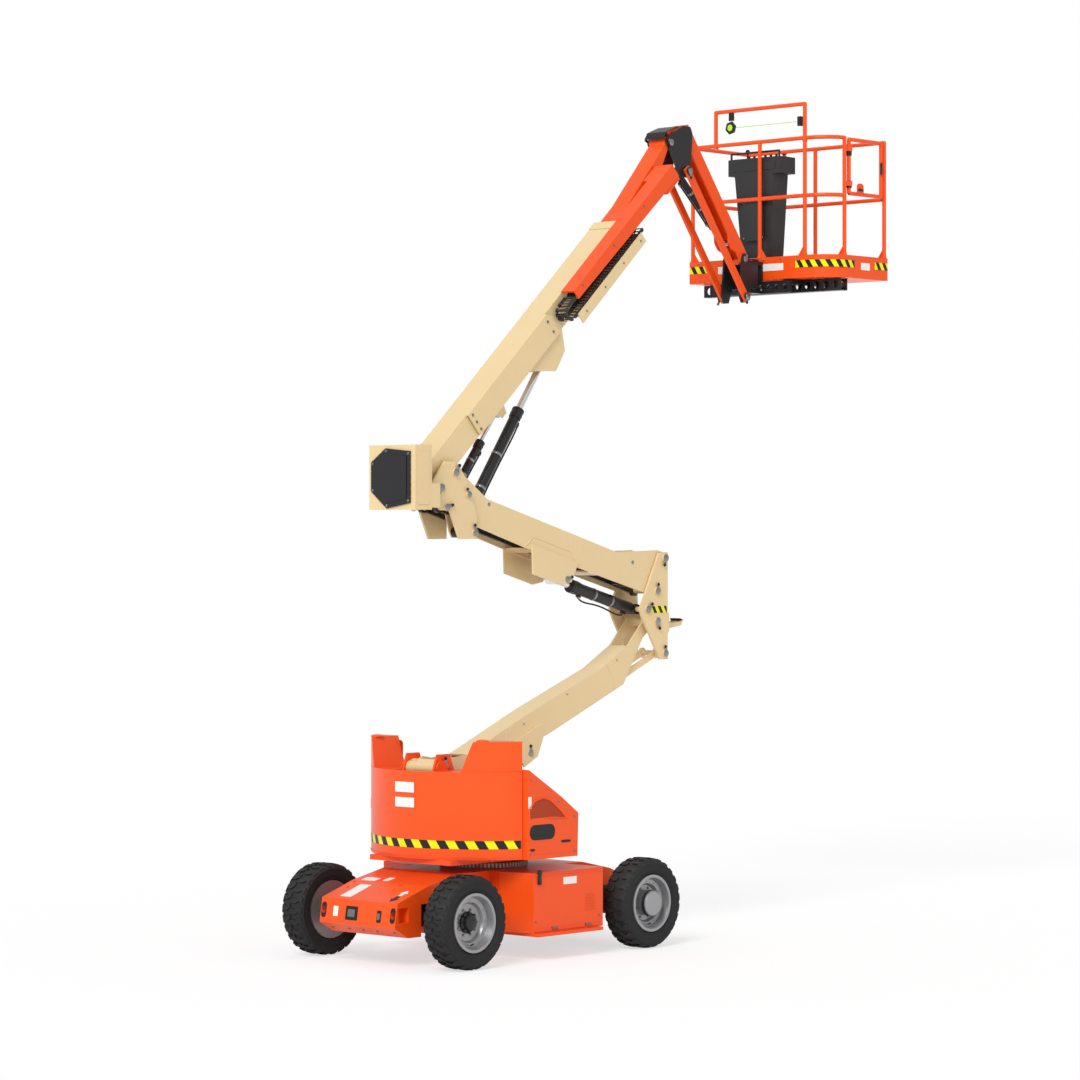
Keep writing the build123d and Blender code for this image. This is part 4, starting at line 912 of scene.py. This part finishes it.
def cylinder_fittings(barrel, foot, head, length, radius, hose_out, piped=True):
    """Two gland rings and two bands and, on a piped barrel, a port at each end and its pipe."""
    start = at(foot[0], 0, foot[1])
    ahead = (at(head[0], 0, head[1]) - start).normalized()
    down = Vector((0, 1, 0)).cross(ahead).normalized()
    if down.z > 0:
        down = -down
    ports = (0.1, length - radius * 2.6) if piped else ()
    gland = [
        (radius + 0.006, 0), (radius + 0.0085, 0.003), (radius + 0.0085, 0.01), (radius + 0.006, 0.013),
    ]
    band = [
        (radius + 0.0015, 0), (radius + 0.0025, 0.002), (radius + 0.0025, 0.018), (radius + 0.0015, 0.02),
    ]
    mesh = bmesh.new()
    for spot in (length - radius * 1.4, length - radius * 0.5):
        lathe(mesh, start + ahead * spot, ahead, gland, 32)
    for spot in ports:
        pad(mesh, start + ahead * spot + down * radius * 0.9, down, ahead, 0.03, 0.04, 0.022, 0.005)
        nut = start + ahead * spot + down * (radius + 0.016)
        lathe(mesh, nut, down, [(0.012, 0), (0.012, 0.012)], 6, 1)
    for spot in (length * 0.35, length * 0.62):
        lathe(mesh, start + ahead * spot, ahead, band, 32, 1)
    finish_piece(f"{barrel}_fittings", mesh, barrel, [black, zinc])
    if piped:
        drop = radius + hose_out
        hose(f"{barrel}_pipe", [
            start + ahead * ports[0] + down * (radius + 0.02),
            start + ahead * (ports[0] + 0.03) + down * drop,
            start + ahead * (length * 0.5) + down * (radius + 0.018),
            start + ahead * (ports[1] - 0.03) + down * drop,
            start + ahead * ports[1] + down * (radius + 0.02),
        ], 0.007, barrel)


def machine_xz(point):
    """A point's own x in the machine, and its height."""
    return point.x + MIDDLE_X, point.z


# Cylinders: from each foot's pin towards its eye's pin
cylinder_fittings("lower_barrel", (-0.70, 0.83), (0.417, 1.523), 0.90, 0.055, 0.03, piped=False)
cylinder_fittings("upper_barrel", (1.747, 2.63), (0.795, 2.879), 0.78, 0.048, 0.05)
lift_eye = machine_xz(on_boom(1.722, 0, -0.134))
cylinder_fittings("lift_barrel", (-0.285, 3.25), lift_eye, 1.18, 0.042, 0.03)
level_eye = machine_xz(on_boom(0.978, 0, -0.096))
cylinder_fittings("level_barrel", (-0.354, 3.54), level_eye, 0.52, 0.032, 0.02)
jib_eye = machine_xz(on_jib(1.060, 0, -0.045))
cylinder_fittings("jib_barrel", (2.311, 6.22), jib_eye, 0.64, 0.030, 0.02)

# Platform: perforated channel under the floor, made as a sheet with round holes
CHANNEL_HALF = 0.745
CHANNEL_HEIGHT = 0.10
CHANNEL_FOOT = 5.283
CHANNEL_SIDES = (3.56, 3.64)
HOLE_RADIUS = 0.031
HOLE_PITCH = 0.097
HOLE_COUNT = 15
HOLE_STEPS = 20


def closed_poly(curve, points):
    """Add a closed outline to a flat curve."""
    spline = curve.splines.new("POLY")
    spline.points.add(len(points) - 1)
    for knot, (u, v) in zip(spline.points, points):
        knot.co = (u, v, 0, 1)
    spline.use_cyclic_u = True


channel = bpy.data.curves.new("channel_sheet", "CURVE")
channel.dimensions = "2D"
channel.fill_mode = "BOTH"
channel.extrude = 0.003
closed_poly(channel, [
    (-CHANNEL_HALF, 0), (CHANNEL_HALF, 0), (CHANNEL_HALF, CHANNEL_HEIGHT), (-CHANNEL_HALF, CHANNEL_HEIGHT),
])
for index in range(HOLE_COUNT):
    centre_u = HOLE_PITCH * (index - (HOLE_COUNT - 1) / 2)
    hole = []
    for step in range(HOLE_STEPS):
        turn = tau * step / HOLE_STEPS
        u = centre_u + HOLE_RADIUS * cos(turn)
        hole.append((u, CHANNEL_HEIGHT / 2 + HOLE_RADIUS * sin(turn)))
    closed_poly(channel, hole)
carrier = bpy.data.objects.new("channel_sheet_source", channel)
sheet_mesh = bpy.data.meshes.new_from_object(carrier)
bpy.data.objects.remove(carrier)
mesh = bmesh.new()
for x in CHANNEL_SIDES:
    part = bmesh.new()
    part.from_mesh(sheet_mesh)
    stand = Matrix(((0, 0, 1, x - MIDDLE_X), (1, 0, 0, 0), (0, 1, 0, CHANNEL_FOOT), (0, 0, 0, 1)))
    part.transform(stand)
    join(mesh, part)
pad(mesh, at(3.60, 0, 5.280), UP, (0, 1, 0), 0.086, 2 * CHANNEL_HALF, 0.005, 0.002)
finish_piece("under_floor_channel", mesh, "platform", [black], smooth=False)

# Platform: hazard strips and blank plates on the toe board
TOE_LOW = 5.474
TOE_STRIP = 0.06
BOOM_FACE = 3.3785
NEAR_FACE = -0.7615
END_FACE = 4.1815
corner = []
for step in range(19):
    turn = radians(5 * step)
    x = BOOM_FACE + 0.231 * (1 - cos(turn))
    corner.append(at(x, NEAR_FACE + 0.276 * (1 - sin(turn)), TOE_LOW))
toe_bands = {
    "toe_hazard_corner": [at(BOOM_FACE, -0.40, TOE_LOW), *corner, at(3.72, NEAR_FACE, TOE_LOW)],
    "toe_hazard_far_end": [at(x, NEAR_FACE, TOE_LOW) for x in (4.0, 4.18)],
    "toe_hazard_back": [at(BOOM_FACE, y, TOE_LOW) for y in (0.755, 0.55)],
    "toe_hazard_end_a": [at(END_FACE, y, TOE_LOW) for y in (-0.755, -0.5)],
    "toe_hazard_end_b": [at(END_FACE, y, TOE_LOW) for y in (0.5, 0.755)],
}
for name, band in toe_bands.items():
    hazard_band(name, band, TOE_STRIP, "platform")
mesh = bmesh.new()
pad(mesh, at(3.3798, -0.12, 5.49), (-1, 0, 0), UP, 0.30, TOE_STRIP, 0.002, 0.004)
pad(mesh, at(3.3798, 0.40, 5.49), (-1, 0, 0), UP, 0.08, TOE_STRIP, 0.002, 0.004)
pad(mesh, at(3.87, -0.7602, 5.49), (0, -1, 0), UP, 0.12, TOE_STRIP, 0.002, 0.004)
finish_piece("toe_board_plates", mesh, "platform", [white], bevel=0.0005)

# Platform floor: raised tread bars in a chequer, none in the cut corner
CORNER_X = 3.62
CORNER_Y = -0.48
mesh = bmesh.new()
for row in range(34):
    for column in range(17):
        x = 3.42 + 0.044 * column
        y = -0.71 + 0.043 * row
        if x < CORNER_X and y < CORNER_Y:
            continue
        direction = (1, 1, 0) if (row + column) % 2 else (1, -1, 0)
        pad(mesh, at(x, y, 5.405), UP, direction, 0.008, 0.028, 0.0015, 0.0035)
finish_piece("floor_tread", mesh, "platform", [zinc])

# Platform rails: post gussets and sockets, top rail sleeves and the toe board's bolts
TOE_TOP = 5.577
RAIL_POSTS = (
    (3.401, -0.484), (3.611, -0.739), (3.401, 0.739), (4.159, 0.739),
    (4.159, -0.739), (3.401, 0.0), (4.159, 0.0),
)
mesh = bmesh.new()
for x, y in RAIL_POSTS:
    inward = 1 if y < 0 else -1
    outline = ((0, 0), (inward * 0.07, 0), (inward * 0.012, 0.083), (0, 0.083))
    prism(mesh, [at(x - 0.003, y + u, TOE_TOP + v) for u, v in outline], (0.006, 0, 0))
    lathe(mesh, at(x, y, TOE_TOP), UP, [(0.021, 0), (0.021, 0.012), (0.0195, 0.016)], 24)
for y in (-0.484, 0.739, 0.482):
    lathe(mesh, at(3.401, y, 6.546), UP, [(0.021, -0.018), (0.0215, 0), (0.021, 0.018)], 20)
for index in range(7):
    bolt(mesh, at(3.3795, -0.42 + 0.18 * index, 5.555), (-1, 0, 0), 0.007, 1)
finish_piece("rail_gussets", mesh, "platform", [orange, zinc], bevel=0.0008)

# Gate: hinge barrels, latch plate and black handles
HINGE_BARREL = [(0.023, -0.03), (0.025, -0.026), (0.025, 0.026), (0.023, 0.03)]
LATCH_GRIP = [(0.01, 0), (0.011, 0.02), (0.011, 0.05), (0.009, 0.06)]
GATE_HANDLE = [(0.009, -0.05), (0.010, -0.04), (0.010, 0.04), (0.009, 0.05)]
mesh = bmesh.new()
for z in (6.17, 6.44):
    lathe(mesh, at(3.671, -0.739, z), UP, HINGE_BARREL, 20)
pad(mesh, at(3.80, -0.757, 6.13), (0, -1, 0), UP, 0.09, 0.11, 0.006, 0.03, 1)
lathe(mesh, at(3.77, -0.764, 6.13), (1, 0, 0), LATCH_GRIP, 16)
lathe(mesh, at(4.09, -0.762, 6.33), UP, GATE_HANDLE, 14)
finish_piece("gate_fittings", mesh, "gate", [black, orange], bevel=0.0008)

# Console: its top plate with knobs, joystick, stop button, key switch and blank screen, and two panels
CONSOLE_TOP = 6.43
PANEL_TOP = CONSOLE_TOP + 0.004
KNOB = [(0.016, 0), (0.016, 0.004), (0.011, 0.006), (0.011, 0.02), (0.009, 0.022)]
STICK = [(0.028, 0), (0.026, 0.008), (0.012, 0.016), (0.007, 0.02), (0.007, 0.06)]
STICK_GRIP = [(0.004, 0), (0.014, 0.004), (0.019, 0.014), (0.019, 0.022), (0.013, 0.032), (0.004, 0.036)]
STOP_BUTTON = [
    (0.022, 0), (0.022, 0.01), (0.014, 0.012), (0.014, 0.02), (0.024, 0.024), (0.024, 0.032), (0.016, 0.036),
]
KEY_SWITCH = [(0.012, 0), (0.012, 0.008), (0.008, 0.009)]
mesh = bmesh.new()
pad(mesh, at(3.536, 0.09, CONSOLE_TOP), UP, (0, 1, 0), 0.18, 0.53, 0.004, 0.02)
for index in range(6):
    spot = at(3.50, -0.10 + 0.06 * index, PANEL_TOP)
    lathe(mesh, spot, UP, KNOB, 20, 1)
    pad(mesh, spot + Vector((0, 0, 0.021)), UP, (1, 0, 0), 0.002, 0.009, 0.002, 0.0008, 2)
lathe(mesh, at(3.57, 0.27, PANEL_TOP), UP, STICK, 24, 1)
lathe(mesh, at(3.57, 0.27, CONSOLE_TOP + 0.06), UP, STICK_GRIP, 24, 1)
lathe(mesh, at(3.58, -0.12, PANEL_TOP), UP, STOP_BUTTON, 24, 3)
lathe(mesh, at(3.58, 0.0, PANEL_TOP), UP, KEY_SWITCH, 20, 4)
pad(mesh, at(3.582, 0.12, PANEL_TOP), UP, (0, 1, 0), 0.04, 0.09, 0.003, 0.006, 5)
pad(mesh, at(3.4302, 0.09, 6.36), (-1, 0, 0), UP, 0.46, 0.07, 0.004, 0.01)
pad(mesh, at(3.425, 0.09, 5.90), (-1, 0, -0.04), UP, 0.22, 0.34, 0.006, 0.012)
for y, z in ((-0.01, 5.75), (0.19, 5.75), (-0.01, 6.05), (0.19, 6.05)):
    bolt(mesh, at(3.419, y, z), (-1, 0, 0), 0.006, 4)
materials = [moulded, hazard_black, white, signal_red, zinc, plastic]
finish_piece("console_controls", mesh, "platform", materials, bevel=0.0005)

# Console: a guard bar over its top, with rounded corners
BAR_RADIUS = 0.009
BAR_ELBOW = [(0.003, 0), (0.0085, 0.005), (BAR_RADIUS, 0.009), (0.0085, 0.013), (0.003, 0.018)]
bar = [at(3.45, y, z) for y, z in (
    (-0.17, CONSOLE_TOP), (-0.17, CONSOLE_TOP + 0.05), (0.35, CONSOLE_TOP + 0.05), (0.35, CONSOLE_TOP),
)]
mesh = bmesh.new()
round_bar(mesh, bar, BAR_RADIUS, 14)
for spot in bar[1:3]:
    lathe(mesh, spot - Vector(UP) * BAR_RADIUS, UP, BAR_ELBOW, 14)
finish_piece("console_guard_bar", mesh, "platform", [black])

# Sensor line: a hexagonal reel and a block on the high rail's posts, with a taut lime line between
LINE_HEIGHT = 6.70
REEL = [(0.052, 0), (0.056, 0.004), (0.056, 0.02), (0.05, 0.024)]
mesh = bmesh.new()
lathe(mesh, at(3.379, 0.31, LINE_HEIGHT), (1, 0, 0), REEL, 6)
lathe(mesh, at(3.3785, 0.31, LINE_HEIGHT), (-1, 0, 0), [(0.03, -0.02), (0.03, 0.0), (0.026, 0.0006)], 6, 1)
pad(mesh, at(3.40, 0.31, 6.76), UP, (0, 1, 0), 0.02, 0.05, 0.08, 0.004)
pad(mesh, at(3.401, -0.452, LINE_HEIGHT), (0, 1, 0), UP, 0.05, 0.08, 0.03, 0.006)
lathe(mesh, at(3.401, -0.425, LINE_HEIGHT), (0, 1, 0), [(0.003, 0), (0.003, 0.69)], 10, 1)
finish_piece("sensor_line", mesh, "platform", [black, lime])

# Rotator: bolts round the drum's lugs, a cap in their middle, and a block on the upper lug
DRUM_X = 3.215
LUG_TOP = 5.5403
LUG_BOTTOM = 5.2697
BOLT_RING = 0.045
mesh = bmesh.new()
for level, sign in ((LUG_TOP, 1), (LUG_BOTTOM, -1)):
    for index in range(6):
        angle = tau * index / 6
        spot = at(DRUM_X + BOLT_RING * cos(angle), BOLT_RING * sin(angle), level)
        bolt(mesh, spot, (0, 0, sign), 0.007, 1)
    lathe(mesh, at(DRUM_X, 0, level), (0, 0, sign), [(0.028, 0), (0.026, 0.008), (0.01, 0.012)], 24)
pad(mesh, at(3.31, 0.0, LUG_TOP), UP, (1, 0, 0), 0.06, 0.08, 0.02, 0.006)
finish_piece("rotator_fittings", mesh, "platform", [black, zinc])

# Studio: a pale floor that keeps a soft shadow, and a white backdrop for the camera
FLOOR_HALF = 400
FLOOR_GLOW = 0.62
ROOM_LIGHT = 0.6
PLAIN_WHITE = (1, 1, 1, 1)
floor_mesh = bmesh.new()
bmesh.ops.create_grid(floor_mesh, x_segments=1, y_segments=1, size=FLOOR_HALF)
floor_data = bpy.data.meshes.new("floor")
floor_mesh.to_mesh(floor_data)
floor_mesh.free()
floor = add_object("floor", floor_data)
floor_paint = bpy.data.materials.new("floor_paint")
floor_paint.use_nodes = True
tree = floor_paint.node_tree
tree.nodes.clear()
matt = add_node(tree, "BsdfDiffuse", {"Color": (0.97, 0.97, 0.97, 1)})
glow = add_node(tree, "Emission", {"Color": PLAIN_WHITE, "Strength": 1.0})
rays = add_node(tree, "LightPath")
seen = add_node(tree, "Math", {1: FLOOR_GLOW})
seen.operation = "MULTIPLY"
tree.links.new(rays.outputs["Is Camera Ray"], seen.inputs[0])
both = add_node(tree, "MixShader")
for index, source in enumerate((seen, matt, glow)):
    tree.links.new(source.outputs[0], both.inputs[index])
target = add_node(tree, "OutputMaterial")
tree.links.new(both.outputs[0], target.inputs["Surface"])
floor_data.materials.append(floor_paint)

world = bpy.data.worlds.new("studio")
bpy.context.scene.world = world
world.use_nodes = True
tree = world.node_tree
tree.nodes.clear()
room = add_node(tree, "Background", {"Color": PLAIN_WHITE, "Strength": ROOM_LIGHT})
backdrop = add_node(tree, "Background", {"Color": PLAIN_WHITE, "Strength": 1.0})
rays = add_node(tree, "LightPath")
either = add_node(tree, "Math")
either.operation = "MAXIMUM"
for index, ray in enumerate(("Is Camera Ray", "Is Transmission Ray")):
    tree.links.new(rays.outputs[ray], either.inputs[index])
mix = add_node(tree, "MixShader")
for index, source in enumerate((either, room, backdrop)):
    tree.links.new(source.outputs[0], mix.inputs[index])
target = add_node(tree, "OutputWorld")
tree.links.new(mix.outputs[0], target.inputs["Surface"])

for name, direction, strength, angle in (
    ("key", (-0.72, -0.30, 0.62), 2.1, 24),
    ("fill", (-0.1, -0.9, 0.35), 0.15, 60),
):
    lamp_data = bpy.data.lights.new(name, "SUN")
    lamp_data.energy = strength
    lamp_data.angle = radians(angle)
    lamp = add_object(name, lamp_data)
    lamp.rotation_euler = Vector(direction).to_track_quat("Z", "Y").to_euler()
